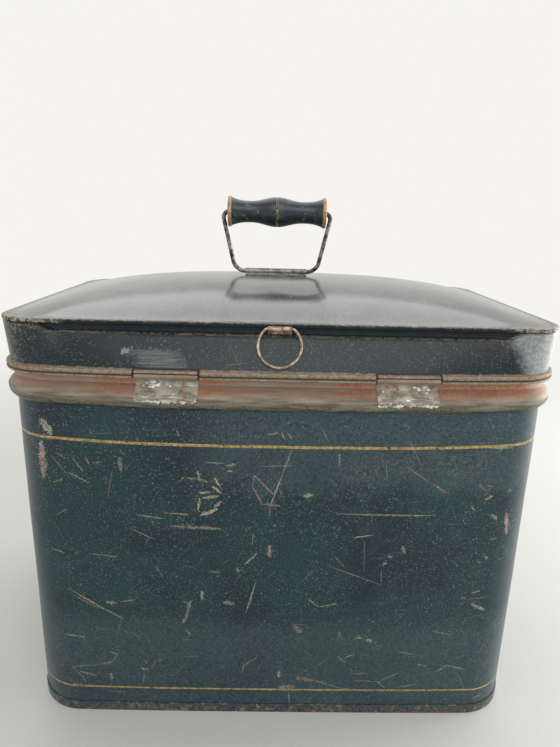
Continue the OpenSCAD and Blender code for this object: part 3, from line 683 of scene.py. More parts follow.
def seen_on_back(px, py):
    """x and z of the back wall at a pixel of the photo. The wall's bulge is taken as straight between
    its heights."""
    ray = camera_turn().to_3x3() @ Vector(
        ((px - PHOTO_W / 2) / FOCAL_PX, (PHOTO_H / 2 - py) / FOCAL_PX, -1.0)
    )
    y = -HALF_D
    for _ in range(12):
        x, z = (EYE[k] + ray[k] / ray.y * (y - EYE[1]) for k in (0, 2))
        y = -HALF_D - bulge_in(x, np.interp(z, *zip(*BULGE_AT)), HALF_W)
    return float(x), float(z)


def scrapes_seen():
    """x and z of both ends of each scrape, in whole millimetres, and its width."""
    found = []
    for (left, top), enlarged, readings in SCRAPE_VIEWS:
        for x1, y1, x2, y2, width in readings:
            px, py = left + x1 / enlarged, top + y1 / enlarged
            start = seen_on_back(px, py)
            end = seen_on_back(left + x2 / enlarged, top + y2 / enlarged)
            per_pixel = abs(seen_on_back(px + 1, py)[0] - start[0])
            ends = [round(value) for value in (*start, *end)]
            found.append((*ends, round(width / enlarged * per_pixel, 1)))
    return found


def paint_scrapes(shell, material):
    """Bare patches on the hinge side: thin, ragged and laid on the dented wall."""
    rand = random.Random(8)
    points, faces, tones = [], [], []

    def patch(x1, z1, x2, z2, width, tone):
        length = math.hypot(x2 - x1, z2 - z1)
        turn = math.atan2(z2 - z1, x2 - x1) if length else rand.uniform(0, math.pi)
        dx, dz = math.cos(turn), math.sin(turn)
        rows = max(4, round((length + width) / 0.7))
        first = len(points)
        for i in range(rows + 1):
            share = i / rows
            along = share * (length + width) - width / 2
            half = width / 2 * max(0.1, math.sin(math.pi * share)) ** 0.45
            half *= 0.6 + 0.55 * abs(math.sin(1.5 * along + first))
            shift = rand.uniform(-0.1, 0.1) * width
            for side in (-half * rand.uniform(0.5, 1.3), 0.0, half * rand.uniform(0.5, 1.3)):
                x = x1 + dx * along - dz * (side + shift)
                z = z1 + dz * along + dx * (side + shift)
                points.append((x, -float(body_skin(x, z)) - 0.5, z))
                tones.append(tone)
        for i in range(rows):
            for k in range(2):
                a = first + 3 * i + k
                faces.append((a, a + 3, a + 4, a + 1))

    for x1, z1, x2, z2, width in scrapes_seen():
        tone = rand.uniform(0.5, 1.0)
        patch(x1, z1, x2, z2, width * 0.85, tone)
        for _ in range(round(3 + width * 3)):
            share, far = rand.random(), rand.gauss(0, 0.9 + width * 0.75)
            around = rand.uniform(0, 2 * math.pi)
            x = mix(x1, x2, share) + far * math.cos(around)
            z = mix(z1, z2, share) + far * math.sin(around)
            patch(x, z, x, z, rand.uniform(0.35, 1.0), tone * rand.uniform(0.5, 1.0))
    obj = mesh_object("paint_scrapes", points, faces)
    give(obj, "tone", "FLOAT", tones)
    face_out(obj)
    wrap = obj.modifiers.new("Wrap", "SHRINKWRAP")
    wrap.target = shell
    wrap.wrap_mode = "ABOVE_SURFACE"
    wrap.offset = 0.05 * MM
    thick = obj.modifiers.new("Thick", "SOLIDIFY")
    thick.thickness = 0.06 * MM
    thick.offset = 0.0
    make_plain(obj)
    obj.data.materials.append(material)
    return finish_piece(obj, "box")


# Hinges
def hinge_leaf(name, x, material, seed):
    """Tin that lies on the bead and the neck and is rolled round the pin, with a ragged lower edge."""
    rand = random.Random(seed)
    steps = 44
    waves = [(rand.uniform(0.1, 0.45), rand.uniform(0.5, 2.6), rand.uniform(0, 6)) for _ in range(5)]
    half_t = STRAP_T / 2
    rolled_r = PIN_R + PIN_PLAY + half_t
    rings = []
    for i in range(steps + 1):
        at = x + STRAP_W * (i / steps - 0.5)
        ragged = sum(size * math.sin(rate * (at - x) / 3 + turn) for size, rate, turn in waves)
        low = RIM_Z - STRAP_DROP + 1.0 + ragged
        heights = np.linspace(low, RIM_Z - 2.6, 14)
        path = [(body_skin(at, z) + SEAT + half_t, z) for z in heights]
        path.append((float(body_skin(at, RIM_Z - 1.4)) + SEAT + half_t + 0.5, RIM_Z - 1.4))
        for turn in range(-100, 236, 14):
            a = math.radians(turn)
            path.append((-HINGE_Y + rolled_r * math.cos(a), HINGE_Z + rolled_r * math.sin(a)))
        path = np.array(path, float)
        way = np.gradient(path, axis=0)
        side = np.stack([way[:, 1], -way[:, 0]], 1) / np.linalg.norm(way, axis=1)[:, None]
        thin = np.full(len(path), half_t)
        thin[0] *= 0.45
        front, back = path + side * thin[:, None], path - side * thin[:, None]
        loop = np.concatenate([front, back[::-1]])
        rings.append(np.column_stack([np.full(len(loop), at), -loop[:, 0], loop[:, 1]]))
    n = len(rings[0])
    faces = [(j * n + k, j * n + (k + 1) % n, (j + 1) * n + (k + 1) % n, (j + 1) * n + k)
             for j in range(steps) for k in range(n)]
    last = steps * n
    for k in range(n // 2 - 1):
        quad = (k, k + 1, n - 2 - k, n - 1 - k)
        faces += [quad[::-1], tuple(last + q for q in quad)]
    obj = mesh_object("hinge_leaf_" + name, np.concatenate(rings), faces)
    obj.data.materials.append(material)
    face_out(obj)
    obj.data.shade_smooth()
    obj.data.set_sharp_from_angle(angle=math.radians(40))
    return finish_piece(obj, "box", ["hinge_strap_" + name])


def face_out(obj):
    """Turns the faces of a plain closed shape outwards."""
    shape = bmesh.new()
    shape.from_mesh(obj.data)
    bmesh.ops.recalc_face_normals(shape, faces=shape.faces)
    shape.to_mesh(obj.data)
    shape.free()


# Solder
def solder_tree():
    """Lumps of solder on points: flattened balls of each point's own size, melted together."""
    sockets = [
        ("Lump Size", "NodeSocketFloat"),
        ("Flatness", "NodeSocketFloat"),
        ("Grain", "NodeSocketFloat"),
        ("Material", "NodeSocketMaterial"),
    ]
    tree, given = tree_with("Solder", sockets)
    ball = tree.add("GeometryNodeMeshIcoSphere", None, {"Radius": 1.0, "Subdivisions": 2})
    points = tree.add("GeometryNodeMeshToPoints", None, {"Mesh": given["Geometry"]})
    size = attribute(tree, "size") * given["Lump Size"]
    turn = tree.add("FunctionNodeAlignRotationToVector", {"axis": "Z"},
                    {"Vector": attribute(tree, "outward", "FLOAT_VECTOR")})
    lumps = tree.add(
        "GeometryNodeInstanceOnPoints",
        None,
        {"Points": points, "Instance": ball, "Rotation": turn,
         "Scale": tree.merge(size, size, size * given["Flatness"])},
    )
    real = tree.add("GeometryNodeRealizeInstances", None, {"Geometry": lumps})
    volume = tree.add(
        "GeometryNodeMeshToVolume",
        {"resolution_mode": "VOXEL_SIZE"},
        {"Mesh": real, "Voxel Size": given["Grain"], "Interior Band Width": given["Grain"] * 3},
    )
    melted = tree.add("GeometryNodeVolumeToMesh", {"resolution_mode": "VOXEL_SIZE"},
                      {"Volume": volume, "Voxel Size": given["Grain"], "Threshold": 0.3})
    return end_tree(tree, melted, given["Material"])


def solder(name, spots, body, material, flat=0.35, grain=0.28):
    """spots are (x, y, z, size) with the way out of the surface (x, y, z)."""
    obj = mesh_object(name, [spot[:3] for spot in spots], [])
    give(obj, "size", "FLOAT", [spot[3] for spot in spots])
    give(obj, "outward", "FLOAT_VECTOR", [spot[4:] for spot in spots])
    group = bpy.data.node_groups.get("Solder") or solder_tree()
    apply_tree(obj, group, Lump_Size=MM, Flatness=flat, Grain=grain * MM, Material=material)
    return finish_piece(obj, body)


def hinge_solder(name, x, material, seed, heap):
    """A run of solder along the lower edge of a hinge leaf, a heap at x of heap, and small blobs."""
    rand = random.Random(seed)
    spots = []
    edge = RIM_Z - STRAP_DROP + 1.0
    for i in range(46):
        at = x + (i / 45 - 0.5) * (STRAP_W - 3)
        z = edge + rand.uniform(-1.6, 0.6)
        spots.append((at, -float(body_skin(at, z)) - 0.05, z, rand.uniform(0.9, 2.0), 0.0, -1.0, 0.25))
    for i in range(9):
        at = x + rand.uniform(-0.45, 0.45) * STRAP_W
        z = edge + rand.uniform(0.5, 7.5)
        size = rand.uniform(0.8, 1.7)
        spots.append((at, -float(body_skin(at, z)) - 0.9, z, size, 0.0, -1.0, 0.3))
    for i in range(14):
        at, z = x + heap + rand.gauss(0, 2.8), 287.5 + rand.gauss(0, 1.3)
        spots.append((at, -float(body_skin(at, z)) - 0.95, z, rand.uniform(0.9, 1.9), 0.0, -1.0, 0.15))
    return solder("hinge_solder_" + name, spots, "box", material)


# Handle
def turned_grip(lacquer, gilt):
    """Turned wood: a swelled middle with a scored ring, two waists and an end ring on each end."""
    half, ring_from = GRIP_LEN / 2, GRIP_LEN / 2 - GRIP_END_T

    def radius(x):
        u = abs(x)
        if u < GRIP_WAIST_X:
            wave = 0.5 + 0.5 * math.cos(math.pi * u / GRIP_WAIST_X)
            r = GRIP_WAIST_R + (GRIP_BELLY_R - GRIP_WAIST_R) * wave**1.2
            return r - 0.45 * max(0.0, 1 - abs(u) / 0.7)
        share = (u - GRIP_WAIST_X) / (ring_from - GRIP_WAIST_X)
        return GRIP_WAIST_R + (GRIP_END_R - 0.8 - GRIP_WAIST_R) * share**2.4

    body = [(x, radius(x)) for x in [*np.linspace(0, 1.4, 8), *np.linspace(2, ring_from - 0.15, 30)]]
    flange = [(ring_from, GRIP_END_R - 0.75), (ring_from + 0.15, GRIP_END_R - 0.25),
              (ring_from + 0.5, GRIP_END_R), (half - 0.9, GRIP_END_R), (half - 0.45, GRIP_END_R - 0.2),
              (half - 0.12, GRIP_END_R - 0.6), (half, GRIP_END_R - 1.4), (half, GRIP_HOLLOW_R + 0.8),
              (half - 0.15, GRIP_HOLLOW_R + 0.2), (half - 0.6, GRIP_HOLLOW_R),
              (half - GRIP_HOLLOW_D, GRIP_HOLLOW_R), (half - GRIP_HOLLOW_D, BORE_R), (0.0, BORE_R)]
    side = body + flange
    profile = [(-x, r) for x, r in reversed(side[1:])] + side[:-1]
    turns = 72
    points, faces = [], []
    for i in range(turns):
        a = 2 * math.pi * i / turns
        points += [(HANDLE_X + x, r * math.cos(a), GRIP_AXIS_Z + r * math.sin(a)) for x, r in profile]
    n = len(profile)
    for i in range(turns):
        k = (i + 1) % turns
        faces += [(i * n + j, k * n + j, k * n + (j + 1) % n, i * n + (j + 1) % n) for j in range(n)]
    obj = mesh_object("turned_grip", points, faces)
    obj.data.materials.append(lacquer)
    obj.data.materials.append(gilt)
    for face in obj.data.polygons:
        x = abs(face.center.x / MM - HANDLE_X)
        r = math.hypot(face.center.y / MM, face.center.z / MM - GRIP_AXIS_Z)
        face.material_index = 1 if x > ring_from - 0.1 and r > GRIP_END_R - 2.2 else 0
    face_out(obj)
    obj.data.shade_smooth()
    obj.data.set_sharp_from_angle(angle=math.radians(42))
    return finish_piece(obj, "grip", ["handle_grip"])


# Finishes. BACK is the y over which the marks of the hinge side alone fade in: wear, rust and the painted
# shade at the hinge gaps.
BACK = (-95, -105)


def old_enamel(f, deep, green, worn, dusty=0.8):
    """Colours of old enamel: broad patches, thin worn haze and pale dust in its pores."""
    cloud = f.noise(f.at, 1 / 90, 3.0)
    patch = f.noise(f.at, 1 / 26, 4.0, 0.6)
    colour = f.mix(cloud.step(0.4, 0.6), deep, green)
    colour = f.mix(patch.step(0.45, 0.75) * 0.55, colour, worn)
    pores = f.noise(f.at, 1 / 1.3, 3.0, 0.7).step(0.56, 0.67) * f.noise(f.at, 1 / 38, 3.0).step(0.1, 0.6)
    return f.mix(pores * dusty, colour, (0.17, 0.215, 0.205, 1.0)), patch, pores


def hairlines(f):
    """Thin scratches in three directions, in patches."""
    made = None
    for k, (size, turn) in enumerate([((60, 60, 0.9), 0.1), ((45, 45, 0.8), 0.9), ((50, 50, 1.0), -1.1)]):
        scale = tuple(1 / v for v in size)
        place = f.add("ShaderNodeMapping", {"vector_type": "POINT"},
                      {"Vector": f.at, "Rotation": (0.0, turn, 0.2), "Location": (7.0 * k, 3.0, 0.0)})
        lines = f.noise(f.stretch(place, scale), 1.0, 1.0).step(0.735, 0.76)
        made = lines if made is None else made.either(lines)
    return made * f.noise(f.at, 1 / 22, 2.0).step(0.5, 0.62)


def body_enamel():
    f = Finish("worn blue-green enamel")
    colour, patch, pores = old_enamel(
        f, (0.003, 0.015, 0.027, 1.0), (0.005, 0.029, 0.033, 1.0), (0.013, 0.042, 0.047, 1.0)
    )
    fine = f.noise(f.at, 1 / 2.6, 4.0, 0.62)
    # Lighter above z 205 to 225 right of x -55, and lighter towards the bottom below z 80 to 105, where it
    # is a painted reflection of the floor.
    rubbed_and_sheen = (f.z + (patch - 0.5) * 40).step(205, 225) * f.x.step(-75, -35)
    rubbed_and_sheen = rubbed_and_sheen.either((f.z + (patch - 0.5) * 40).step(105, 80)) * fine.step(0.2, 0.7)
    colour = f.mix(rubbed_and_sheen * 0.55, colour, (0.062, 0.097, 0.1, 1.0))
    chips = fine.step(0.66, 0.7) * f.noise(f.at, 1 / 17, 3.0).step(0.56, 0.66)
    for height, width in LINES:
        line = abs(f.z + (patch - 0.5) * 0.7 - height).step(width / 2 + 0.25, width / 2 - 0.1)
        gold = f.mix(fine.step(0.4, 0.65), (0.29, 0.19, 0.06, 1.0), (0.52, 0.36, 0.13, 1.0))
        whole = 1 - f.noise(f.at, 1 / 3.4, 4.0, 0.7).step(0.56, 0.62) * f.noise(f.at, 1 / 30).step(0.4, 0.6)
        colour = f.mix(line * whole * 0.92, colour, gold)
    lines = hairlines(f)
    primer = f.mix(patch.step(0.42, 0.6), (0.27, 0.2, 0.16, 1.0), (0.36, 0.34, 0.3, 1.0))
    worn = f.x.zone(45, 150, 18).both(f.z.zone(222, 243, 8)) * f.y.step(*BACK)
    worn = worn * f.noise(f.at, 1 / 1.5, 2.0, 0.7).step(0.52, 0.66) * patch.step(0.3, 0.6)
    colour = f.mix(worn * 0.4, colour, (0.2, 0.19, 0.16, 1.0))
    bare = (chips * 0.75).either(lines * 0.5)
    colour = f.mix(bare, colour, primer)
    swage, tin = tarnish(f, fine, patch)
    colour = f.mix(swage, colour, tin)
    rust = (f.z + (fine - 0.5) * 14).step(9.0, 5.0) * fine.step(0.46, 0.6)
    colour = f.mix(rust * 0.85, colour, (0.17, 0.085, 0.045, 1.0))
    chipped_foot = f.z.step(10.5, 8.0) * f.noise(f.at, 1 / 5, 4.0, 0.7).step(0.56, 0.62)
    colour = f.mix(chipped_foot * 0.8, colour, (0.22, 0.17, 0.13, 1.0))
    rough = 0.24 + patch * 0.12 + pores * 0.15 + bare * 0.25 + swage * 0.22
    height = fine * 0.12 - bare * 0.5 + swage * (fine * 1.2) - pores * 0.2
    return f.show(colour, rough, swage * 0.35, height, 0.07, IOR=1.42)


def scraped_tin():
    """Primer and bare tin where the enamel is scraped off, with flecks of it left."""
    f = Finish("scraped patches")
    patch = f.noise(f.at, 1 / 20, 3.0)
    fine = f.noise(f.at, 1 / 1.0, 4.0, 0.65)
    cream = f.x.zone(-75, -35, 5) * f.z.zone(192, 235, 5)
    colour = f.mix(patch.step(0.42, 0.6), (0.25, 0.18, 0.14, 1.0), (0.34, 0.31, 0.25, 1.0))
    colour = f.mix(cream, colour, (0.44, 0.4, 0.27, 1.0))
    colour = f.mix(fine.step(0.45, 0.7) * 0.5, colour, (0.5, 0.46, 0.38, 1.0))
    left = f.noise(f.at, 1 / 1.3, 3.0, 0.7).step(0.51, 0.58)
    tone = f.add("ShaderNodeAttribute", {"attribute_name": "tone"}, (), "Fac")
    covered = 1 - tone * (1 - left * 0.8)
    colour = f.mix(covered, colour, (0.012, 0.032, 0.038, 1.0))
    return f.show(colour, 0.55, 0.15, fine, 0.05)


def tarnish(f, fine, patch):
    """The bare tin of the bead and the neck. Gives its mask and its colour."""
    ragged = f.noise(f.at, 1 / 5, 4.0, 0.6)
    mask = (f.z + (ragged - 0.5) * 7).step(272.6, 273.8)
    streaks = f.noise(f.stretch(f.at, (1 / 24, 1 / 24, 1 / 2.2)), 1.0, 4.0, 0.6)
    olive = f.mix(streaks.step(0.35, 0.65), (0.12, 0.1, 0.068, 1.0), (0.24, 0.215, 0.165, 1.0))
    olive = f.mix(fine.step(0.5, 0.75) * 0.5, olive, (0.12, 0.09, 0.06, 1.0))
    brown = f.mix(streaks.step(0.35, 0.65), (0.33, 0.21, 0.15, 1.0), (0.38, 0.28, 0.21, 1.0))
    colour = f.mix((f.z + (patch - 0.5) * 5).step(281, 286), olive, brown)
    covered = f.mix(streaks.step(0.35, 0.65), (0.2, 0.185, 0.155, 1.0), (0.3, 0.285, 0.25, 1.0))
    colour = f.mix((f.z + (ragged - 0.5) * 2).step(294.5, 296), colour, covered)
    near = None
    for x1, x2 in [(-128, -96), (-60, -36), (38, 66), (107, 175)]:
        zone = f.x.zone(x1, x2, 5)
        near = zone if near is None else near.either(zone)
    high = (f.z + (ragged - 0.5) * 6).step(283, 286)
    rust = high * (near.both(f.y.step(*BACK)) * 0.85).either(ragged.step(0.56, 0.68) * 0.6)
    rust = rust * f.z.step(298, 294)
    rusty = f.mix(fine.step(0.3, 0.7), (0.33, 0.13, 0.07, 1.0), (0.47, 0.24, 0.145, 1.0))
    colour = f.mix(rust, colour, rusty)
    paint = f.noise(f.at, 1 / 2.2, 4.0, 0.65).step(0.53, 0.58) * (f.z + (ragged - 0.5) * 8).step(279, 275)
    return mask, f.mix(paint * 0.8, colour, (0.02, 0.035, 0.04, 1.0))


def band_enamel():
    """The lid's wall: dull enamel over brown tin at the folded rim and along the crease."""
    f = Finish("worn lid enamel")
    colour, patch, _ = old_enamel(
        f, (0.003, 0.009, 0.014, 1.0), (0.007, 0.015, 0.018, 1.0), (0.02, 0.03, 0.031, 1.0), 0.5
    )
    fine = f.noise(f.at, 1 / 2.2, 4.0, 0.62)
    ragged = f.noise(f.at, 1 / 6, 4.0, 0.6)
    streaks = f.noise(f.stretch(f.at, (1 / 30, 1 / 30, 1 / 0.7)), 1.0, 3.0, 0.7)
    scuff = (f.x + (f.z - 306) * 0.76 + (ragged - 0.5) * 16).zone(-100, -70, 8)
    scuff = scuff.both((f.z + (ragged - 0.5) * 6).zone(299, 312, 1.5)) * f.y.step(*BACK)
    scuff = scuff * (streaks.step(0.5, 0.75) * 0.75 + 0.22)
    blob = f.merge((f.x + 107) * 0.5 + (ragged - 0.5) * 3, f.z - 311 - (f.x + 107) * 0.2, 0.0)
    blob = f.add("ShaderNodeVectorMath", {"operation": "LENGTH"}, [blob], 1)
    blob = (blob + (fine - 0.5) * 6).step(2.4, 1.4) * f.y.step(*BACK)
    scuff = scuff.either(blob * 0.7)
    colour = f.mix(scuff * 0.75, colour, (0.36, 0.39, 0.38, 1.0))
    chips = fine.step(0.64, 0.68) * f.noise(f.at, 1 / 14, 3.0).step(0.5, 0.62)
    lines = hairlines(f)
    bare = (chips * 0.7).either(lines * 0.5)
    colour = f.mix(bare, colour, (0.3, 0.26, 0.2, 1.0))
    crease = abs(f.z + (ragged - 0.5) - CREASE_Z).step(0.9, 0.3) * fine.step(0.4, 0.6)
    crease = crease * abs(f.x).step(170, 155)
    colour = f.mix(crease * 0.7, colour, (0.19, 0.14, 0.1, 1.0))
    # Painted glare: lighter, mottled grey at the right end of the wall on the hinge side, standing in for
    # the sheen of the window on the right.
    rubbed_and_sheen = (f.x + (f.z - 310) * 0.5 + (ragged - 0.5) * 14).step(160, 174) * f.y.step(20, -60)
    colour = f.mix(rubbed_and_sheen * (0.5 + fine.step(0.4, 0.65) * 0.35), colour, (0.36, 0.39, 0.385, 1.0))
    ends = (abs(f.x) + (ragged - 0.5) * 60).step(168, 190) * fine.step(0.52, 0.6)
    corners = abs(f.x).step(160, 172) * (f.z + (ragged - 0.5) * 9).step(323, 327)
    ends = ends.either(corners * fine.step(0.45, 0.55))
    colour = f.mix(ends * 0.6, colour, (0.27, 0.23, 0.165, 1.0))
    rim = (f.z + (ragged - 0.5) * 2.4).step(RIM_TOP + 1.0, RIM_TOP + 0.2)
    tin = f.mix(fine.step(0.35, 0.65), (0.17, 0.13, 0.09, 1.0), (0.3, 0.24, 0.18, 1.0))
    tin = f.mix(patch.step(0.55, 0.7) * 0.4, tin, (0.27, 0.13, 0.075, 1.0))
    groove = f.z.zone(RIM_Z + 1.7, RIM_Z + 2.9, 0.35)
    tin = f.mix(groove * 0.85, tin, (0.05, 0.04, 0.025, 1.0))
    pale = f.z.zone(RIM_Z + 0.3, RIM_Z + 1.5, 0.4) * ragged.step(0.4, 0.6)
    tin = f.mix(pale * 0.5, tin, (0.36, 0.36, 0.27, 1.0))
    colour = f.mix(rim, colour, tin)
    left, right = HINGES["left"], HINGES["right"]
    along = abs(abs(f.x - (left + right) / 2) - (right - left) / 2)
    # Painted shade: near black in the gaps beside the hinge straps and along the top of their notches in
    # the rim.
    gap = abs(along - 22.3).step(0.9, 0.5).either(along.step(22, 21.5) * f.z.step(299.2, 299.6))
    gap = gap * f.y.step(*BACK) * f.z.step(301.2, 300.4)
    colour = f.mix(gap * 0.95, colour, (0.006, 0.006, 0.008, 1.0))
    rough = 0.26 + patch * 0.14 + bare * 0.2 + rim * 0.24 + scuff * 0.2
    height = fine * 0.15 - bare * 0.4 + rim * fine * 1.2
    return f.show(colour, rough, rim * 0.35, height, 0.07, IOR=1.36)


def dome_enamel():
    """The lid's top: glossy dark enamel, dusty, with a chipped lip."""
    f = Finish("worn top enamel")
    colour, patch, _ = old_enamel(
        f, (0.03, 0.04, 0.042, 1.0), (0.05, 0.06, 0.06, 1.0), (0.09, 0.1, 0.095, 1.0)
    )
    fine = f.noise(f.at, 1 / 2.4, 4.0, 0.62)
    ragged = f.noise(f.at, 1 / 5, 4.0, 0.65)
    dust = f.noise(f.at, 1 / 60, 5.0, 0.65).step(0.4, 0.7)
    colour = f.mix(dust * 0.5, colour, (0.16, 0.165, 0.155, 1.0))
    lines = hairlines(f)
    chips = fine.step(0.67, 0.7) * f.noise(f.at, 1 / 20, 3.0).step(0.55, 0.65)
    bare = (chips * 0.8).either(lines * 0.2)
    colour = f.mix(bare, colour, (0.3, 0.26, 0.2, 1.0))
    # Painted shade: near black along the top's edge at the seam, apart from its chips.
    lip = (f.z - ragged * 0.5).step(SEAM_Z + 0.4, SEAM_Z - 0.1)
    chipped = lip * (ragged + abs(f.x).step(140, 190) * 0.1).step(0.5, 0.58)
    colour = f.mix((lip - chipped) * 0.9, colour, (0.012, 0.014, 0.016, 1.0))
    tin = f.mix(fine.step(0.38, 0.62), (0.06, 0.045, 0.03, 1.0), (0.3, 0.24, 0.175, 1.0))
    colour = f.mix(chipped * 0.85, colour, tin)
    rough = 0.13 + patch * 0.08 + dust * 0.05 + bare * 0.2 + lip * 0.25
    height = fine * 0.1 - bare * 0.4 - chipped * 0.8
    return f.show(colour, rough, 0.0, height, 0.06, IOR=1.9)


def lip_enamel():
    """The lip and the skirt under it, which lie in the shade: near black as painted shade, with a worn pale
    edge.
    """
    f = Finish("shaded lid enamel")
    fine = f.noise(f.at, 1 / 1.6, 4.0, 0.65)
    ragged = f.noise(f.at, 1 / 7, 4.0, 0.65)
    # Painted shade: the near-black base of the lip and the skirt.
    colour = f.mix(ragged.step(0.35, 0.65), (0.004, 0.01, 0.016, 1.0), (0.01, 0.018, 0.022, 1.0))
    specks = fine.step(0.68, 0.72) * ragged.step(0.45, 0.6)
    colour = f.mix(specks * 0.7, colour, (0.25, 0.22, 0.18, 1.0))
    edge = (f.z + (ragged - 0.5) * 2.4).step(SEAM_Z - 1.0, SEAM_Z - 0.5) * fine.step(0.42, 0.6)
    pale = f.mix(fine.step(0.4, 0.7), (0.11, 0.08, 0.055, 1.0), (0.3, 0.245, 0.18, 1.0))
    colour = f.mix(edge * 0.85, colour, pale)
    ends = (abs(f.x) + (ragged - 0.5) * 50).step(150, 168) * (ragged + fine * 0.4).step(0.6, 0.72)
    worn = f.mix(fine.step(0.4, 0.6), (0.07, 0.055, 0.04, 1.0), (0.42, 0.36, 0.27, 1.0))
    colour = f.mix(ends * f.z.step(SEAM_Z - LIP_H - 0.5, SEAM_Z - LIP_H), colour, worn)
    return f.show(colour, 0.4, 0.0, fine, 0.1, Specular_IOR_Level=0.22)


def old_metal(name, dull, pale, rust, rusty, size=7.0, metal=0.7, rough=0.42, depth=0.08, paint=0.0,
              brown_over=None):
    """Old tin or iron: dull and pale patches, pits and rust. rusty is the share of rust."""
    f = Finish(name)
    cloud = f.noise(f.at, 1 / size, 4.0, 0.6)
    fine = f.noise(f.at, 1 / 0.8, 3.0, 0.65)
    rubbed_and_sheen = f.noise(f.stretch(f.at, (1 / 9, 1 / 1.2, 1 / 1.2)), 1.0, 3.0, 0.6)
    colour = f.mix(cloud.step(0.38, 0.62), dull, pale)
    bright = (*(min(1.0, c * 1.35) for c in pale[:3]), 1.0)
    colour = f.mix(rubbed_and_sheen.step(0.55, 0.75) * 0.5, colour, bright)
    pits = f.noise(f.at, 1.7 / size, 4.0, 0.68) + (fine - 0.5) * 0.12
    eaten = pits.step(0.7 - 0.3 * rusty, 0.76 - 0.3 * rusty)
    dark_rust = (*(c * 0.6 for c in rust[:3]), 1.0)
    colour = f.mix(eaten * 0.9, colour, f.mix(fine.step(0.3, 0.7), dark_rust, rust))
    if brown_over:
        colour = f.mix((f.z + (cloud - 0.5)).step(brown_over - 0.3, brown_over + 0.3) * 0.85, colour,
                       f.mix(fine, (0.13, 0.095, 0.065, 1.0), (0.3, 0.215, 0.155, 1.0)))
        low = (f.z + (cloud - 0.5) * 14).step(285.5, 284) * rubbed_and_sheen.step(0.62, 0.5)
        colour = f.mix(low * 0.8, colour, f.mix(fine, (0.1, 0.085, 0.06, 1.0), (0.25, 0.22, 0.17, 1.0)))
    if paint:
        left = f.noise(f.at, 1 / 3.5, 4.0, 0.6).step(0.62 - 0.25 * paint, 0.66 - 0.25 * paint)
        colour = f.mix(left * 0.85, colour, (0.012, 0.016, 0.02, 1.0))
    height = fine * 0.6 - eaten * 0.7 + cloud * 0.5
    return f.show(colour, rough + eaten * 0.3, metal * (1 - eaten * 0.85), height, depth)


def grip_lacquer():
    """Blue-black lacquer, worn and flaked, with traces of gilding in the scored middle ring."""
    f = Finish("grip lacquer")
    cloud = f.noise(f.at, 1 / 14, 4.0, 0.6)
    fine = f.noise(f.at, 1 / 0.9, 4.0, 0.65)
    colour = f.mix(cloud.step(0.4, 0.62), (0.005, 0.011, 0.022, 1.0), (0.012, 0.026, 0.03, 1.0))
    flakes = (fine + f.noise(f.at, 1 / 7, 2.0) * 0.5).step(0.86, 0.94)
    colour = f.mix(flakes * 0.8, colour, (0.3, 0.26, 0.22, 1.0))
    middle = abs(f.x - HANDLE_X + (cloud - 0.5) * 0.8).step(1.3, 0.7)
    gilt = middle * f.noise(f.at, 1 / 1.6, 3.0, 0.6).step(0.48, 0.55)
    colour = f.mix(gilt * 0.9, colour, (0.36, 0.25, 0.12, 1.0))
    rough = 0.26 + cloud * 0.1 + flakes * 0.25 + gilt * 0.2
    return f.show(colour, rough, 0.0, fine * 0.3 - flakes * 0.6, 0.06, IOR=1.5)


def worn_gilt():
    f = Finish("worn gilt")
    fine = f.noise(f.at, 1 / 0.8, 4.0, 0.65)
    cloud = f.noise(f.at, 1 / 4, 3.0, 0.6)
    colour = f.mix(cloud.step(0.35, 0.65), (0.4, 0.235, 0.1, 1.0), (0.56, 0.38, 0.19, 1.0))
    dirt = (fine * 0.6 + cloud * 0.5).step(0.54, 0.62)
    colour = f.mix(dirt * 0.8, colour, (0.05, 0.04, 0.03, 1.0))
    return f.show(colour, 0.42 + dirt * 0.2, 0.25, fine - dirt * 0.5, 0.1)


def repaint(node, material):
    """Gives a CAD node's own mesh its finish."""
    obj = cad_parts[node]
    obj.data.materials.clear()
    obj.data.materials.append(material)


# Camera, light and floor
BACKDROP = (0.92, 0.905, 0.875, 1.0)


def camera_turn():
    pitch = Matrix.Rotation(math.radians(90 - PITCH_DEG), 4, "X")
    return Matrix.Rotation(-YAW, 4, "Z") @ pitch @ Matrix.Rotation(ROLL, 4, "Z")


def make_camera():
    data = bpy.data.cameras.new("camera")
    data.sensor_width = SENSOR
    data.lens = FOCAL_PX / PHOTO_H * SENSOR
    data.clip_start = 0.01
    camera = bpy.data.objects.new("camera", data)
    bpy.context.scene.collection.objects.link(camera)
    camera.matrix_world = Matrix.Translation(Vector(EYE) * MM) @ camera_turn()
    bpy.context.scene.camera = camera


def softbox(name, place, aim, width, height, power):
    data = bpy.data.lights.new(name, "AREA")
    data.shape = "RECTANGLE"
    data.size, data.size_y = width, height
    data.energy = power
    lamp = bpy.data.objects.new(name, data)
    bpy.context.scene.collection.objects.link(lamp)
    way = Vector(aim) - Vector(place)
    lamp.matrix_world = Matrix.Translation(place) @ way.to_track_quat("-Z", "Y").to_matrix().to_4x4()
    lamp.visible_camera = False


def backdrop_rays(tree):
    """1 for the rays that see the background: camera, mirror and glass rays."""
    path = tree.tree.nodes.new("ShaderNodeLightPath")
    seen = Val(tree, path.outputs["Is Camera Ray"])
    for label in ("Is Glossy Ray", "Is Transmission Ray"):
        seen = seen.either(Val(tree, path.outputs[label]))
    return seen


def make_world():
    world = bpy.data.worlds.new("studio")
    bpy.context.scene.world = world
    world.use_nodes = True
    tree = Tree(world.node_tree)
    shader = world.node_tree.nodes["Background"]
    seen = backdrop_rays(tree)
    colour = tree.mix(seen, grey(0.5), BACKDROP)
    world.node_tree.links.new(colour.socket, shader.inputs["Color"])


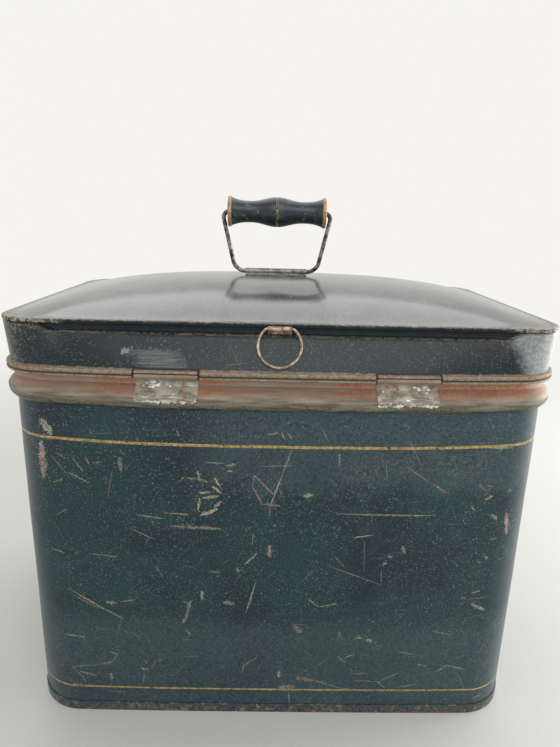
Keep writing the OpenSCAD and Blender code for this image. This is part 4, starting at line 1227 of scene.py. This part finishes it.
def make_floor():
    size = 9000.0
    points = [(-size, -size, 0), (size, -size, 0), (size, size, 0), (-size, size, 0)]
    floor = mesh_object("floor", points, [(0, 1, 2, 3)])
    f = Finish("pale floor")
    fine = f.noise(f.at, 1 / 3, 3.0)
    colour = f.mix(fine, (0.55, 0.55, 0.52, 1.0), (0.6, 0.6, 0.57, 1.0))
    material = f.show(colour, 0.6)
    away = f.add("ShaderNodeVectorMath", {"operation": "LENGTH"}, [f.merge(f.x, f.y * 0.8, 0.0)], 1)
    share = away.step(450, 1300)
    seen = backdrop_rays(f)
    glow = f.add("ShaderNodeEmission", None, {"Color": BACKDROP})
    blend = f.add("ShaderNodeMixShader", None, {0: share * seen, 1: Val(f, f.shader.outputs[0]), 2: glow})
    output = f.tree.nodes["Material Output"]
    f.tree.links.new(blend.socket, output.inputs["Surface"])
    floor.data.materials.append(material)


make_camera()
make_world()
make_floor()
softbox("front sky", (0.3, -2.0, 1.9), (0, 0, 0.2), 2.4, 1.4, 26)
softbox("top sky", (0.2, 1.2, 2.6), (0, 0, 0.3), 4.0, 3.0, 42)
softbox("right window", (1.7, -0.15, 0.5), (0.2, -0.1, 0.25), 1.2, 0.8, 18)
softbox("back window", (2.2, 1.0, 0.7), (0.1, 0, 0.2), 1.8, 2.0, 22)
softbox("right glare", (1.06, 0.36, 0.24), (0.2, -0.1, 0.25), 0.7, 0.42, 2.4)
softbox("left fill", (-2.0, -0.9, 1.0), (-0.1, 0, 0.2), 1.2, 1.4, 6)

enamel = body_enamel()
band = band_enamel()
dome = dome_enamel()
hinge_tin = old_metal(
    "hinge tin", (0.24, 0.215, 0.17, 1), (0.46, 0.44, 0.37, 1), (0.33, 0.15, 0.085, 1), 0.5,
    size=10.0, metal=0.3, rough=0.5, brown_over=293.4,
)
solder_tin = old_metal(
    "solder", (0.36, 0.35, 0.31, 1), (0.62, 0.61, 0.56, 1), (0.3, 0.16, 0.09, 1), 0.2
)
rusty_wire = old_metal(
    "rusty wire", (0.12, 0.09, 0.07, 1), (0.3, 0.24, 0.18, 1), (0.22, 0.09, 0.045, 1), 0.8
)
loop_tin = old_metal(
    "loop tin", (0.2, 0.14, 0.1, 1), (0.42, 0.33, 0.26, 1), (0.25, 0.1, 0.05, 1), 0.7, size=5.0
)
tube_tin = old_metal(
    "tube tin", (0.13, 0.12, 0.1, 1), (0.29, 0.27, 0.235, 1), (0.14, 0.09, 0.06, 1), 0.5, size=6.0
)
ring_iron = old_metal(
    "ring iron", (0.2, 0.15, 0.12, 1), (0.46, 0.38, 0.31, 1), (0.24, 0.13, 0.08, 1), 0.4, size=5.0
)
bail_iron = old_metal(
    "bail iron", (0.07, 0.065, 0.07, 1), (0.27, 0.24, 0.23, 1), (0.14, 0.08, 0.06, 1), 0.3,
    size=8.0, paint=0.4,
)
hasp_tin = old_metal(
    "hasp tin", (0.13, 0.12, 0.1, 1), (0.3, 0.28, 0.24, 1), (0.2, 0.09, 0.05, 1), 0.5,
    size=8.0, paint=0.4,
)
plain_tin = old_metal(
    "plain tin", (0.235, 0.225, 0.195, 1), (0.285, 0.275, 0.245, 1), (0.2, 0.13, 0.085, 1), 0.3,
    size=45.0, metal=0.45, rough=0.45,
)

shell = body_shell(enamel, plain_tin)
paint_scrapes(shell, scraped_tin())
bottom_tray(enamel, plain_tin)
shaded = lip_enamel()
lid_band(band, shaded, plain_tin)
lid_dome(dome, shaded, plain_tin)
for number, (side, place) in enumerate(HINGES.items()):
    hinge_leaf(side, place, hinge_tin, 4 + number)
    hinge_solder(side, place, solder_tin, 20 + number, -10 + 21 * number)
turned_grip(grip_lacquer(), worn_gilt())
for node, finish in {
    "rim_wire": rusty_wire,
    "hinge_pins": rusty_wire,
    "ring_loop": loop_tin,
    "handle_tube": tube_tin,
    "handle_bail": bail_iron,
    "pull_ring": ring_iron,
    "hasp_strap": hasp_tin,
    "hasp_pin": hasp_tin,
    "hasp": hasp_tin,
    "staple": hasp_tin,
}.items():
    repaint(node, finish)

bpy.context.scene.view_settings.view_transform = "Standard"
